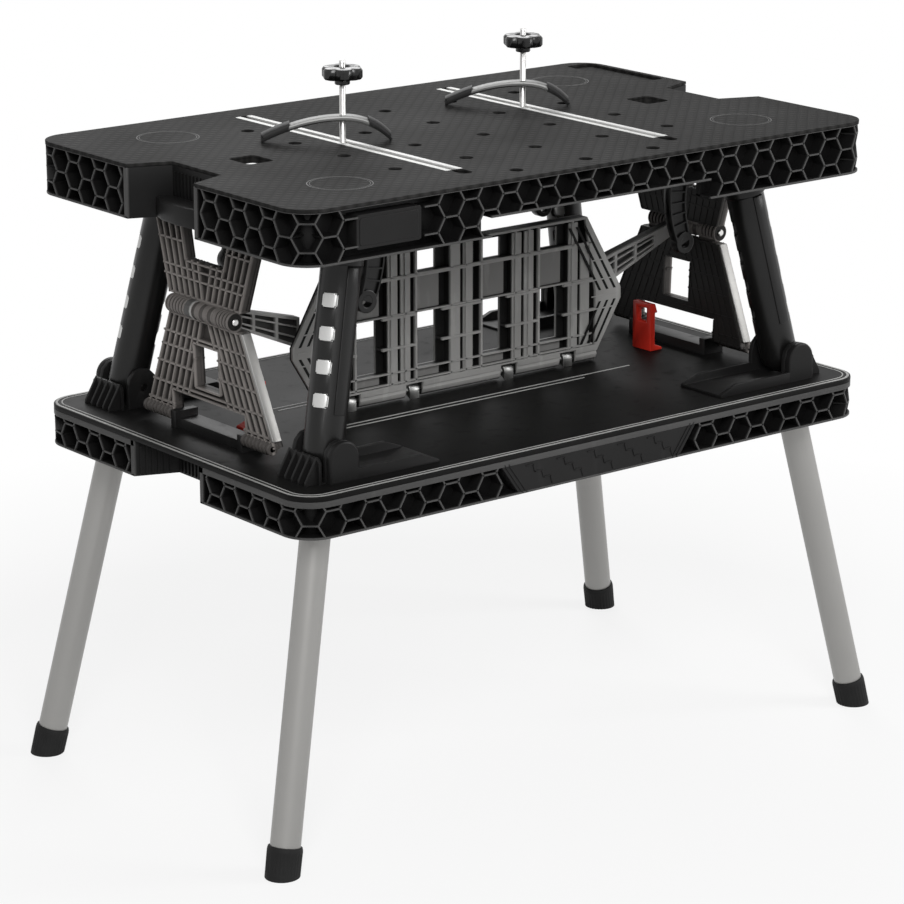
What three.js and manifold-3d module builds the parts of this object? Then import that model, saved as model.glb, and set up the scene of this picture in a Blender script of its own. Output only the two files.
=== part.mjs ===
// A folding workbench: a moulded work top and a moulded shelf, held apart by two-leaf folding ends and a
// centre panel, on four splayed legs that fold under the shelf. Millimetres, +Z up, floor at Z = 0,
// X along the length, the front edge at -Y.
import * as THREE from "three";
import { mergeVertices } from "three/addons/utils/BufferGeometryUtils.js";
import Module from "manifold-3d";

const wasm = await Module();
wasm.setup();

// Overall sizes
const BENCH_LENGTH = 850;
const BENCH_WIDTH = 530;
const CORNER_RADIUS = 38;
const TABLE_HEIGHT = 755;
const SHELF_HEIGHT = 437;
const DECK_RIM = 63;
const SHELF_RIM = 49;
const DECK_SKIN = 9;
const SHELF_SKIN = 6;
const RIM_WALL = 26;
const CELL = 31.5;
const CELL_WALL = 3;
const CELL_EDGE = 2.5;
const CELL_DEPTH = 20;

// Work top: hand notches, handle gap, finger holes, dog holes, clamp rails and the tool tray
const NOTCH_DEPTH = 50;
const NOTCH_MOUTH = 134;
const NOTCH_FLOOR = 96;
const NOTCH_WALL = 6;
const HANDLE_GAP_LENGTH = 318;
const HANDLE_GAP_HEIGHT = 22;
const PLATE_PLACE = 306;
const PLATE_LENGTH = 86;
const HANDLE_PANEL_LENGTH = 287;
const FINGER_HOLE_X = 36;
const FINGER_HOLE_Y = 42;
const HOLE_CORNER = 6;
const DOG_HOLE = 15.5;
const DOG_PITCH_X = 102;
const DOG_PITCH_Y = 95;
const FRONT_DOG_INSET = 33;
const RAIL_OFFSET = 154;
const RAIL_WIDTH = 24;
const RAIL_HEIGHT = 7;
const RAIL_BACK_INSET = 43;
const RAIL_FRONT_INSET = 79;
const RAIL_LOADING_SLOT = 26;
const RAIL_MOUTH = 9;
const RAIL_CHANNEL = 16;
const RAIL_LIP = 2;
const RAIL_FLOOR = 1.4;
const TRAY_LENGTH = 146;
const TRAY_WIDTH = 40;
const TRAY_DEPTH = 4;
const TRAY_EDGE = 8;
const TRAY_CORNER_INSET = 19;

// Legs: the line that each leg follows, its tubes and its foot
const LEG_TOP_INSET_X = 127;
const LEG_TOP_INSET_Y = 94;
const LEG_SPREAD_X = 148;
const LEG_SPREAD_Y = 74;
const SLEEVE_DIAMETER = 46;
const SLEEVE_WALL = 4.5;
const COLLAR_DIAMETER = 50;
const COLLAR_LENGTH = 72;
const COLLAR_STEP = 2;
const SLEEVE_TOP_GAP = 6;
const SLEEVE_TOP_SLACK = 4.6;
const SLEEVE_PIVOT_RISE = 27;
const WINDOW_COUNT = 4;
const WINDOW_PITCH = 37;
const WINDOW_WIDTH = 20;
const WINDOW_HEIGHT = 17;
const WINDOW_START = 48;
const WINDOW_TURN = 28;
const LINER_WALL = 2.5;
const LEG_DIAMETER = 35;
const LEG_WALL = 2.5;
const LEG_PIVOT_DROP = 28;
const FOOT_DIAMETER = 42;
const FOOT_HEIGHT = 34;
const FOOT_SOLE = 9;
const FOOT_CHAMFER = 3;
const ROUND_SIDES = 10;
const PIN_SIDES = 8;

// Leg brackets. The front left and back right legs toe in as they fold, so that they pass the other two
const SLEEVE_TOE = THREE.MathUtils.degToRad(3.2);
const LEG_TOE = THREE.MathUtils.degToRad(9.2);
const CHEEK_THICK = 6;
const CHEEK_RADIUS = 20;
const CHEEK_CLEARANCE = 2.8;
const SLEEVE_STUB = 9;
const LEG_STUB = 8;
const BRACKET_FLOOR = 3;
const CRADLE_HEIGHT = 13;
const CRADLE_LENGTH = 132;
const CRADLE_WIDTH = 60;
const LUG_WIDTH = 24;
const LUG_THICK = 5;
const LUG_DROP = 12;
const LUG_CLEARANCE = 2.5;

// Folding ends: two leaves on each end
const LEAF_INSET = 60;
const LEAF_THICK = 14;
const LEAF_LEAN = 2;
const SHELF_PIN_RISE = 16;
const DECK_PIN_DROP = 32;
const LEAF_PIN = 8;
const LEAF_KNUCKLE = 15;
const LEAF_FOOT_WIDTH = 250;
const LEAF_FOOT_GAP = 144;
const LEAF_FOOT_HEIGHT = 28;
const HINGE_LUG = 10;
const HINGE_BAR_HEIGHT = 12;
const HINGE_LUG_HEIGHT = 20.5;
const LEAF_ELBOW_WIDTH = 140;
const LEAF_ARM_WIDTH = 222;
const LEAF_ARM_GAP = 116;
const LEAF_VEE_RISE = 54;
const LEAF_VEE_WIDTH = 74;
const LEAF_WINDOW_WIDTH = 48;
const LEAF_WINDOW_RISE = 42;
const LEAF_WINDOW_HEAD = 31;
const LEAF_SKIN = 4;
const LEAF_RIB = 4;
const LEAF_RIB_PITCH = 24;
const LEAF_SHELF_PITCH = 32;
const LOWER_RIB_PITCH = 17;
const LOWER_STRIPS = 3;
const ELBOW_BARREL = 22;
const ELBOW_LENGTH = 124;
const ELBOW_WEB = 8.4;
const ELBOW_PIN = 8;
const ELBOW_ARM_PLACE = 17;
const ELBOW_ARM_THICK = 14;
const ELBOW_REACH = 30;
const STRIP_WIDTH = 12;
const STRIP_THICK = 5;

// Centre panel, its hinge rod and the arms that hold the folding ends apart
const PANEL_THICK = 18;
const PANEL_FOOT = 428;
const PANEL_TOP = 392;
const PANEL_WING = 504;
const PANEL_HEIGHT = 176;
const PANEL_PIN_RISE = 10;
const PANEL_PIN = 8;
const PANEL_KNUCKLE = 17;
const WING_THICK = 6.5;
const WING_LOW = 66;
const WING_HIGH = 80;
const PANEL_WINDOW = 38;
const PANEL_WINDOW_PLACES = [-140, -50, 50, 140];
const PANEL_LOW_WINDOW = [27, 97];
const PANEL_HIGH_WINDOW = [143, 167];
const PANEL_LUG_PLACES = [-167, -73, 73, 167];
const PANEL_LUG = 14;
const PANEL_LUG_NOTCH = 26;
const PANEL_SKIN = 5;
const PANEL_RIB = 3;
const PANEL_RIB_PLACES = [-184, -161, -107, -86, -70.5, -17, 6, 29.5, 83, 104, 119.5, 173];
const PANEL_SHELVES = [57, 94, 141];
const ARM_OVERLAP = 24;
const ARM_DEPTH = 38;
const ARM_BAYS = [0, 1, 2];

// Swing hooks beside the leg tops
const HOOK_PLACE = 132.5;
const HOOK_THICK = 13;
const HOOK_INSET = 171;
const HOOK_PIN_DROP = 12;
const HOOK_DROP = 127;
const HOOK_SET_IN = 13;
const HOOK_BULGE = 8;
const HOOK_WIDTH = 18;
const HOOK_RING = 24;
const HOOK_BORE = 13;
const HOOK_PIN = 8;
const HOOK_HEAD = 20;
const HOOK_EAR = 6;
const HANGER_RIB = 5;

// Hold-down clamps
const ROD_DIAMETER = 7.5;
const ROD_TOP = 96;
const CLAMP_FOOT = 20;
const KNOB_DIAMETER = 50;
const KNOB_WAIST = 40;
const KNOB_THICK = 15;
const KNOB_HUB = 18;
const KNOB_HUB_LENGTH = 6;
const KNOB_DROP = 8;
const KNOB_LOBES = 6;
const BAR_LONG = 95;
const BAR_SHORT = 56;
const BAR_SHOULDER = 34;
const BAR_WIDTH = 20;
const BAR_THICK = 7;
const BAR_ARCH = 24;
const LEFT_CLAMP = { place: 22, turn: -34 };
const RIGHT_CLAMP = { place: 66, turn: -40 };

// Red latches that stand on the shelf and reach through the finger holes when the bench is shut
const LATCH_INSET = 125;
const LATCH_WIDTH = 34;
const LATCH_THICK = 8;
const LATCH_HEIGHT = 61;
const LATCH_FOOT = 12;

// Fits
const RUN = 0.5;
const SEAT = 0.3;

const halfLength = BENCH_LENGTH / 2;
const halfWidth = BENCH_WIDTH / 2;
const deckUnder = TABLE_HEIGHT - DECK_SKIN;
const deckBottom = TABLE_HEIGHT - DECK_RIM;
const shelfUnder = SHELF_HEIGHT - SHELF_SKIN;
const shelfBottom = SHELF_HEIGHT - SHELF_RIM;
const leafX = halfLength - LEAF_INSET;
const shelfPinZ = SHELF_HEIGHT + SHELF_PIN_RISE;
const deckPinZ = TABLE_HEIGHT - DECK_PIN_DROP;
const lean = THREE.MathUtils.degToRad(LEAF_LEAN);
const leafLength = (deckPinZ - shelfPinZ) / 2 / Math.cos(lean);
const panelPinZ = SHELF_HEIGHT + PANEL_PIN_RISE;

// Finishes
const finish = (color, roughness, metalness) => () =>
  new THREE.MeshStandardMaterial({ color, roughness, metalness });
const charcoal = finish(0x3a3838, 0.75, 0);
const blackPlastic = finish(0x1c1b1b, 0.6, 0);
const leafPlastic = finish(0x4a4543, 0.7, 0);
const panelPlastic = finish(0x6e6c6a, 0.65, 0);
const sleevePlastic = finish(0x2c2b2b, 0.55, 0);
const aluminium = finish(0xb4b5b6, 0.35, 0.9);
const steel = finish(0xc6c7c6, 0.3, 1);
const rubber = finish(0x151515, 0.85, 0);
const redPlastic = finish(0xbe2a1e, 0.5, 0);

// A closed geometry as a solid, and a solid back as a geometry
function solid(geometry) {
  const bare = geometry.clone();
  bare.deleteAttribute("normal");
  bare.deleteAttribute("uv");
  const merged = mergeVertices(bare, 1e-4);
  return new wasm.Manifold(
    new wasm.Mesh({
      numProp: 3,
      vertProperties: merged.attributes.position.array,
      triVerts: new Uint32Array(merged.index.array),
    }),
  );
}

function geometryOf(body) {
  const mesh = body.getMesh();
  const geometry = new THREE.BufferGeometry();
  geometry.setAttribute("position", new THREE.BufferAttribute(mesh.vertProperties, 3));
  geometry.setIndex(new THREE.BufferAttribute(mesh.triVerts, 1));
  geometry.computeVertexNormals();
  return geometry;
}

const bench = new THREE.Group();

function add(name, body, material, parent = bench) {
  const mesh = new THREE.Mesh(geometryOf(body), material());
  mesh.name = name;
  parent.add(mesh);
}

// A box between two corners
function block(x0, x1, y0, y1, z0, z1) {
  const box = new THREE.BoxGeometry(Math.abs(x1 - x0), Math.abs(y1 - y0), Math.abs(z1 - z0));
  return solid(box.translate((x0 + x1) / 2, (y0 + y1) / 2, (z0 + z1) / 2));
}

// A flat shape made thick along +Z from z0 to z1
function slab(shape, z0, z1, curveSegments = 3) {
  const options = { depth: z1 - z0, bevelEnabled: false, curveSegments };
  return solid(new THREE.ExtrudeGeometry(shape, options).translate(0, 0, z0));
}

// A shape drawn in Y and height, made thick along +X from x0 to x1
function endPlate(shape, x0, x1, curveSegments = 3) {
  const options = { depth: x1 - x0, bevelEnabled: false, curveSegments };
  const turn = new THREE.Matrix4().set(0, 0, 1, x0, 1, 0, 0, 0, 0, 1, 0, 0, 0, 0, 0, 1);
  return solid(new THREE.ExtrudeGeometry(shape, options).applyMatrix4(turn));
}

// A shape drawn in X and height, made thick along Y from y0 to y1
function sidePlate(shape, y0, y1, curveSegments = 3) {
  const options = { depth: y1 - y0, bevelEnabled: false, curveSegments };
  const turn = new THREE.Matrix4().set(1, 0, 0, 0, 0, 0, -1, y1, 0, 1, 0, 0, 0, 0, 0, 1);
  return solid(new THREE.ExtrudeGeometry(shape, options).applyMatrix4(turn));
}

function outline(points) {
  return new THREE.Shape(points.map(([u, v]) => new THREE.Vector2(u, v)));
}

function roundedRectangle(length, width, radius) {
  const a = length / 2;
  const b = width / 2;
  const shape = new THREE.Shape();
  shape.moveTo(a - radius, -b);
  shape.absarc(a - radius, radius - b, radius, -Math.PI / 2, 0, false);
  shape.absarc(a - radius, b - radius, radius, 0, Math.PI / 2, false);
  shape.absarc(radius - a, b - radius, radius, Math.PI / 2, Math.PI, false);
  shape.absarc(radius - a, radius - b, radius, Math.PI, 1.5 * Math.PI, false);
  shape.closePath();
  return shape;
}

// Round bars along each axis
function barX(x0, x1, y, z, radius, sides = 12) {
  const bar = new THREE.CylinderGeometry(radius, radius, x1 - x0, sides);
  return solid(bar.rotateZ(-Math.PI / 2).translate((x0 + x1) / 2, y, z));
}

function barY(x, y0, y1, z, radius, sides = 12) {
  const bar = new THREE.CylinderGeometry(radius, radius, y1 - y0, sides);
  return solid(bar.translate(x, (y0 + y1) / 2, z));
}

function barZ(x, y, z0, z1, radius, sides = 12) {
  const bar = new THREE.CylinderGeometry(radius, radius, z1 - z0, sides);
  return solid(bar.rotateX(Math.PI / 2).translate(x, y, (z0 + z1) / 2));
}

// A turned piece about the Z axis from a closed profile of [radius, height] points
function turned(profile, sides = ROUND_SIDES) {
  const points = profile.map(([r, h]) => new THREE.Vector2(r, h));
  return solid(new THREE.LatheGeometry(points, sides).rotateX(Math.PI / 2));
}

const sum = (bodies) => bodies.reduce((whole, body) => whole.add(body));
const cut = (body, tools) => tools.reduce((left, tool) => left.subtract(tool), body);

// A piece drawn at +X and +Y, moved to another corner
function mirrored(body, sx, sy) {
  let placed = body;
  if (sx < 0) {
    placed = placed.mirror([1, 0, 0]);
  }
  if (sy < 0) {
    placed = placed.mirror([0, 1, 0]);
  }
  return placed;
}

const SIDES = [
  { side: "left", sx: -1 },
  { side: "right", sx: 1 },
];
const CORNERS = [
  { corner: "front_left", sx: -1, sy: -1 },
  { corner: "front_right", sx: 1, sy: -1 },
  { corner: "back_left", sx: -1, sy: 1 },
  { corner: "back_right", sx: 1, sy: 1 },
];

// The line of a leg: its point at a height, and the direction up along it
function legPoint(sx, sy, z) {
  const down = (deckBottom - z) / deckBottom;
  const x = halfLength - LEG_TOP_INSET_X + LEG_SPREAD_X * down;
  const y = halfWidth - LEG_TOP_INSET_Y + LEG_SPREAD_Y * down;
  return new THREE.Vector3(sx * x, sy * y, z);
}

function legUp(sx, sy) {
  return legPoint(sx, sy, deckBottom).sub(legPoint(sx, sy, 0)).normalize();
}

function legGroup(sx, sy, z) {
  const group = new THREE.Group();
  group.position.copy(legPoint(sx, sy, z));
  group.quaternion.setFromUnitVectors(new THREE.Vector3(0, 0, 1), legUp(sx, sy));
  group.updateMatrix();
  bench.add(group);
  return group;
}

// The line that a leg piece turns about, square to its standing and its folded directions
function sleeveAxis(sx, sy) {
  const folded = new THREE.Vector3(-sx * Math.cos(SLEEVE_TOE), sy * Math.sin(SLEEVE_TOE), 0);
  return legUp(sx, sy).cross(folded).normalize();
}

function legAxis(sx, sy) {
  const toe = sx === sy ? LEG_TOE : 0;
  const folded = new THREE.Vector3(-sx * Math.cos(toe), -sy * Math.sin(toe), 0);
  return legUp(sx, sy).cross(folded).normalize();
}

function stubAlong(axis, half, radius) {
  const bar = new THREE.CylinderGeometry(radius, radius, 2 * half, PIN_SIDES);
  const turn = new THREE.Quaternion().setFromUnitVectors(new THREE.Vector3(0, 1, 0), axis);
  return solid(bar.applyQuaternion(turn));
}

const legSlope = 1 / legUp(1, 1).z;
const sleevePivotZ = SHELF_HEIGHT + SLEEVE_PIVOT_RISE;
const legPivotZ = SHELF_HEIGHT - LEG_PIVOT_DROP;

// Rims: the long sides carry the corners, the short sides fit between them
function longRim(sy, z0, z1) {
  const a = halfLength - CORNER_RADIUS;
  const b = halfWidth - CORNER_RADIUS;
  const inner = CORNER_RADIUS - RIM_WALL;
  const shape = new THREE.Shape();
  shape.moveTo(-halfLength, -b);
  shape.absarc(-a, -b, CORNER_RADIUS, Math.PI, 1.5 * Math.PI, false);
  shape.absarc(a, -b, CORNER_RADIUS, -Math.PI / 2, 0, false);
  shape.absarc(a, -b, inner, 0, -Math.PI / 2, true);
  shape.absarc(-a, -b, inner, 1.5 * Math.PI, Math.PI, true);
  shape.closePath();
  const rim = slab(shape, z0, z1);
  return sy < 0 ? rim : rim.rotate([0, 0, 180]);
}

function endRimOutline(sx) {
  const b = halfWidth - CORNER_RADIUS;
  const inner = halfLength - RIM_WALL;
  const floor = halfLength - NOTCH_DEPTH;
  const back = floor - NOTCH_WALL;
  const flank = NOTCH_MOUTH / 2 + NOTCH_WALL;
  const points = [
    [inner, -b],
    [halfLength, -b],
    [halfLength, -NOTCH_MOUTH / 2],
    [floor, -NOTCH_FLOOR / 2],
    [floor, NOTCH_FLOOR / 2],
    [halfLength, NOTCH_MOUTH / 2],
    [halfLength, b],
    [inner, b],
    [inner, flank],
    [back, NOTCH_FLOOR / 2 + NOTCH_WALL],
    [back, -NOTCH_FLOOR / 2 - NOTCH_WALL],
    [inner, -flank],
  ];
  return outline(sx > 0 ? points : points.map(([x, y]) => [-x, -y]));
}

function notchOutline(sx) {
  const floor = halfLength - NOTCH_DEPTH;
  const beyond = halfLength + 1;
  const flare = (NOTCH_MOUTH - NOTCH_FLOOR) / 2 / NOTCH_DEPTH;
  const mouth = NOTCH_MOUTH / 2 + flare;
  const points = [
    [floor, -NOTCH_FLOOR / 2],
    [beyond, -mouth],
    [beyond, mouth],
    [floor, NOTCH_FLOOR / 2],
  ];
  return outline(sx > 0 ? points : points.map(([x, y]) => [-x, -y]));
}

// Honeycomb hollows in the outer face of a rim. Columns of six-sided cells alternate by half a cell
function cellRows(z0, z1, column) {
  const cells = [];
  const start = z0 + (column % 2 === 0 ? CELL / 2 : 0);
  for (let z = start; z < z1; z += CELL) {
    const low = Math.max(z - CELL / 2 + CELL_WALL / 2, z0 + CELL_EDGE);
    const high = Math.min(z + CELL / 2 - CELL_WALL / 2, z1 - CELL_EDGE);
    if (high - low > CELL / 2) {
      cells.push({ z, low, high });
    }
  }
  return cells;
}

function cellOutline(u, { z, low, high }) {
  const reach = (CELL - CELL_WALL) / Math.sqrt(3);
  const half = (at) => reach - Math.abs(at - z) / Math.sqrt(3);
  const points = [[u + half(low), low]];
  if (low < z && z < high) {
    points.push([u + reach, z]);
  }
  points.push([u + half(high), high], [u - half(high), high]);
  if (low < z && z < high) {
    points.push([u - reach, z]);
  }
  points.push([u - half(low), low]);
  return outline(points);
}

const cellPitch = (CELL * Math.sqrt(3)) / 2;

// Cells in the front rims, where `keeps` says which of them clear the other features
function longRimCells(z0, z1, keeps) {
  const last = Math.floor((halfLength - CORNER_RADIUS - CELL / 2) / cellPitch);
  const cells = [];
  for (let column = -last; column <= last; column++) {
    const u = column * cellPitch;
    for (const cell of cellRows(z0, z1, Math.abs(column))) {
      if (keeps(u, cell)) {
        cells.push(sidePlate(cellOutline(u, cell), -halfWidth - 1, CELL_DEPTH - halfWidth));
      }
    }
  }
  return cells;
}

function endRimCells(sx, z0, z1) {
  const start = NOTCH_MOUTH / 2 + NOTCH_WALL + CELL / 2;
  const last = halfWidth - CORNER_RADIUS - CELL / 2;
  const floor = sx * (halfLength - CELL_DEPTH);
  const face = sx * (halfLength + 1);
  const cells = [];
  for (let column = 0; start + column * cellPitch < last; column++) {
    for (const cell of cellRows(z0, z1, column)) {
      for (const sy of [-1, 1]) {
        const shape = cellOutline(sy * (start + column * cellPitch), cell);
        cells.push(endPlate(shape, Math.min(floor, face), Math.max(floor, face)));
      }
    }
  }
  return cells;
}

// Work top skin with its notches, holes, rail grooves and tray
const railBack = halfWidth - RAIL_BACK_INSET;
const railFront = RAIL_FRONT_INSET - halfWidth;

function deckSkin() {
  const body = slab(roundedRectangle(BENCH_LENGTH, BENCH_WIDTH, CORNER_RADIUS), deckUnder, TABLE_HEIGHT);
  const above = TABLE_HEIGHT + 1;
  const below = deckUnder - 1;
  const tools = [];
  for (const { sx } of SIDES) {
    tools.push(slab(notchOutline(sx), below, above));
    const fingerX = sx * (halfLength - LATCH_INSET);
    const finger = roundedRectangle(FINGER_HOLE_X, FINGER_HOLE_Y, HOLE_CORNER);
    tools.push(slab(finger, below, above, 2).translate([fingerX, 0, 0]));
    const railX = sx * RAIL_OFFSET;
    const grooveHalf = RAIL_WIDTH / 2 + SEAT;
    const grooveFloor = TABLE_HEIGHT - RAIL_HEIGHT;
    tools.push(
      block(railX - grooveHalf, railX + grooveHalf, railFront - SEAT, railBack + SEAT, grooveFloor, above),
    );
    const slotHalf = RAIL_CHANNEL / 2;
    const slotFront = railFront - RAIL_LOADING_SLOT;
    tools.push(block(railX - slotHalf, railX + slotHalf, slotFront, railFront, grooveFloor, above));
  }
  for (let column = -2; column <= 2; column++) {
    for (let row = 0; row < 4; row++) {
      const y = (row - 1.5) * DOG_PITCH_Y;
      tools.push(barZ(column * DOG_PITCH_X, y, below, above, DOG_HOLE / 2, PIN_SIDES));
    }
  }
  for (let column = -1; column <= 1; column++) {
    const y = FRONT_DOG_INSET - halfWidth;
    tools.push(barZ(column * DOG_PITCH_X, y, below, above, DOG_HOLE / 2, PIN_SIDES));
  }
  const trayX = halfLength - TRAY_EDGE - TRAY_WIDTH / 2;
  const trayY = halfWidth - TRAY_CORNER_INSET - TRAY_LENGTH / 2;
  const trayShape = roundedRectangle(TRAY_WIDTH, TRAY_LENGTH, HOLE_CORNER);
  const tray = slab(trayShape, TABLE_HEIGHT - TRAY_DEPTH, above, 2);
  tools.push(tray.translate([trayX, trayY, 0]));
  return cut(body, tools);
}

// Hangers under the work top. Each has a lug outside an arm of an upper leaf, an ear beside a swing hook,
// the round pins that these turn on, and a rib that joins the two
const armSide = LEAF_ARM_WIDTH / 2 + RUN;
const hookX = halfLength - HOOK_INSET;
const hookPinZ = deckUnder - HOOK_PIN_DROP;
const hookNear = HOOK_PLACE - HOOK_THICK / 2;
const hookFar = HOOK_PLACE + HOOK_THICK / 2;

function hangingPlate(x, z, radius, y0, y1) {
  const shape = new THREE.Shape();
  shape.moveTo(x + radius, deckUnder);
  shape.lineTo(x - radius, deckUnder);
  shape.lineTo(x - radius, z);
  shape.absarc(x, z, radius, Math.PI, 2 * Math.PI, false);
  shape.closePath();
  return sidePlate(shape, y0, y1);
}

function deckHanger(sx, sy) {
  const lugEnd = armSide + LEAF_KNUCKLE / 2;
  const earEnd = hookNear - RUN;
  const lug = hangingPlate(leafX, deckPinZ, LEAF_KNUCKLE / 2, armSide, lugEnd);
  const leafPin = barY(leafX, LEAF_ARM_GAP / 2, lugEnd, deckPinZ, LEAF_PIN / 2, PIN_SIDES);
  const ear = hangingPlate(hookX, hookPinZ, HOOK_HEAD / 2, earEnd - HOOK_EAR, earEnd);
  const hookPin = barY(hookX, earEnd - HOOK_EAR, hookFar, hookPinZ, HOOK_PIN / 2, PIN_SIDES);
  const ribStart = hookX - HOOK_HEAD / 2;
  const ribEnd = leafX + LEAF_KNUCKLE / 2;
  const rib = block(ribStart, ribEnd, armSide, earEnd, deckUnder - HANGER_RIB, deckUnder);
  return mirrored(sum([rib, lug, leafPin, ear, hookPin]), sx, sy);
}

function deckFrontRim() {
  const rim = longRim(-1, deckBottom, deckUnder);
  const half = HANDLE_GAP_LENGTH / 2;
  const slope = HANDLE_GAP_HEIGHT / 2;
  const gap = outline([
    [-half - slope, deckBottom - 1],
    [half + slope, deckBottom - 1],
    [half, deckBottom + HANDLE_GAP_HEIGHT],
    [-half, deckBottom + HANDLE_GAP_HEIGHT],
  ]);
  const clearOfGap = (u, cell) =>
    Math.abs(u) > half + slope + CELL / 2 || cell.low > deckBottom + HANDLE_GAP_HEIGHT + CELL_EDGE;
  const clearOfPlate = (u) => Math.abs(u + PLATE_PLACE) > (PLATE_LENGTH + CELL) / 2;
  const keeps = (u, cell) => clearOfGap(u, cell) && clearOfPlate(u);
  const cells = longRimCells(deckBottom, deckUnder, keeps);
  return cut(rim, [sidePlate(gap, -halfWidth - 1, RIM_WALL + 1 - halfWidth), ...cells]);
}

// The end rims bend in round the hand notch, with cells on both sides of it
function endRim(sx, z0, z1) {
  return cut(slab(endRimOutline(sx), z0, z1), endRimCells(sx, z0, z1));
}

add("deck_top", deckSkin(), charcoal);
add("deck_front_rim", deckFrontRim(), blackPlastic);
add("deck_back_rim", longRim(1, deckBottom, deckUnder), blackPlastic);
add("deck_left_rim", endRim(-1, deckBottom, deckUnder), blackPlastic);
add("deck_right_rim", endRim(1, deckBottom, deckUnder), blackPlastic);

for (const { corner, sx, sy } of CORNERS) {
  add(`${corner}_hanger`, deckHanger(sx, sy), blackPlastic);
}

// Clamp rails: a channel with a lipped mouth, let into the work top
function clampRail(railX) {
  const half = RAIL_WIDTH / 2;
  const lip = TABLE_HEIGHT - RAIL_LIP;
  const floor = TABLE_HEIGHT - RAIL_HEIGHT + RAIL_FLOOR;
  const section = outline([
    [railX - half, TABLE_HEIGHT - RAIL_HEIGHT],
    [railX + half, TABLE_HEIGHT - RAIL_HEIGHT],
    [railX + half, TABLE_HEIGHT],
    [railX + RAIL_MOUTH / 2, TABLE_HEIGHT],
    [railX + RAIL_MOUTH / 2, lip],
    [railX + RAIL_CHANNEL / 2, lip],
    [railX + RAIL_CHANNEL / 2, floor],
    [railX - RAIL_CHANNEL / 2, floor],
    [railX - RAIL_CHANNEL / 2, lip],
    [railX - RAIL_MOUTH / 2, lip],
    [railX - RAIL_MOUTH / 2, TABLE_HEIGHT],
    [railX - half, TABLE_HEIGHT],
  ]);
  return sidePlate(section, railFront, railBack);
}

for (const { side, sx } of SIDES) {
  add(`${side}_clamp_rail`, clampRail(sx * RAIL_OFFSET), aluminium);
}

// Hold-down clamps: a rod with a foot in the rail, an arched bar and a lobed knob
function clampRod(x, y) {
  const top = TABLE_HEIGHT - RAIL_LIP - SEAT;
  const bottom = TABLE_HEIGHT - RAIL_HEIGHT + RAIL_FLOOR + SEAT;
  const half = RAIL_CHANNEL / 2 - RUN;
  const foot = block(x - half, x + half, y - CLAMP_FOOT / 2, y + CLAMP_FOOT / 2, bottom, top);
  return foot.add(barZ(x, y, bottom, TABLE_HEIGHT + ROD_TOP, ROD_DIAMETER / 2, 10));
}

function clampKnob(x, y) {
  const top = TABLE_HEIGHT + ROD_TOP - KNOB_DROP;
  const waist = KNOB_WAIST / 2;
  const shape = new THREE.Shape();
  const steps = KNOB_LOBES * 4;
  for (let step = 0; step < steps; step++) {
    const turn = (step / steps) * 2 * Math.PI;
    const lobe = (1 + Math.cos(KNOB_LOBES * turn)) / 2;
    const radius = waist + (KNOB_DIAMETER / 2 - waist) * Math.sqrt(lobe);
    const point = [radius * Math.cos(turn), radius * Math.sin(turn)];
    if (step === 0) {
      shape.moveTo(...point);
    } else {
      shape.lineTo(...point);
    }
  }
  shape.closePath();
  const head = slab(shape, top - KNOB_THICK, top);
  const hub = barZ(0, 0, top - KNOB_THICK - KNOB_HUB_LENGTH, top - KNOB_THICK / 2, KNOB_HUB / 2);
  const bore = barZ(0, 0, TABLE_HEIGHT, top + 1, ROD_DIAMETER / 2 + SEAT, 12);
  return head.add(hub).subtract(bore).translate([x, y, 0]);
}

function clampBar(x, y, turn) {
  const shape = new THREE.Shape();
  const crown = TABLE_HEIGHT + SEAT + BAR_ARCH;
  const rest = TABLE_HEIGHT + SEAT;
  shape.moveTo(-BAR_LONG, rest);
  shape.quadraticCurveTo(-BAR_LONG / 2, crown, 0, crown);
  shape.quadraticCurveTo(BAR_SHOULDER, crown, BAR_SHORT, rest);
  shape.lineTo(BAR_SHORT, rest + BAR_THICK);
  shape.quadraticCurveTo(BAR_SHOULDER, crown + BAR_THICK, 0, crown + BAR_THICK);
  shape.quadraticCurveTo(-BAR_LONG / 2, crown + BAR_THICK, -BAR_LONG, rest + BAR_THICK);
  shape.closePath();
  const bar = sidePlate(shape, -BAR_WIDTH / 2, BAR_WIDTH / 2, 6);
  const hole = barZ(0, 0, TABLE_HEIGHT, crown + 2 * BAR_THICK, ROD_DIAMETER / 2 + RUN, 12);
  return bar.subtract(hole).rotate([0, 0, turn]).translate([x, y, 0]);
}

const CLAMPS = [
  { side: "left", sx: -1, clamp: LEFT_CLAMP },
  { side: "right", sx: 1, clamp: RIGHT_CLAMP },
];
for (const { side, sx, clamp } of CLAMPS) {
  const x = sx * RAIL_OFFSET;
  add(`${side}_clamp_rod`, clampRod(x, clamp.place), steel);
  add(`${side}_clamp_knob`, clampKnob(x, clamp.place), rubber);
  add(`${side}_clamp_bar`, clampBar(x, clamp.place, clamp.turn), steel);
}

// Shelf: skin, rims, and the slots that the bracket lugs pass through
const lugOffset = LEG_DIAMETER / 2 + LUG_CLEARANCE;

function lugBox(sx, sy, ledge, grow) {
  const pivot = legPoint(sx, sy, legPivotZ);
  const near = pivot.y + ledge * (lugOffset - grow);
  const far = pivot.y + ledge * (lugOffset + LUG_THICK + grow);
  const half = LUG_WIDTH / 2 + grow;
  return block(pivot.x - half, pivot.x + half, near, far, legPivotZ - LUG_DROP - grow, SHELF_HEIGHT + 1);
}

function shelfSkin() {
  const body = slab(roundedRectangle(BENCH_LENGTH, BENCH_WIDTH, CORNER_RADIUS), shelfUnder, SHELF_HEIGHT);
  const tools = [];
  for (const { sx, sy } of CORNERS) {
    tools.push(lugBox(sx, sy, -1, SEAT), lugBox(sx, sy, 1, SEAT));
  }
  return cut(body, tools);
}

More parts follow.
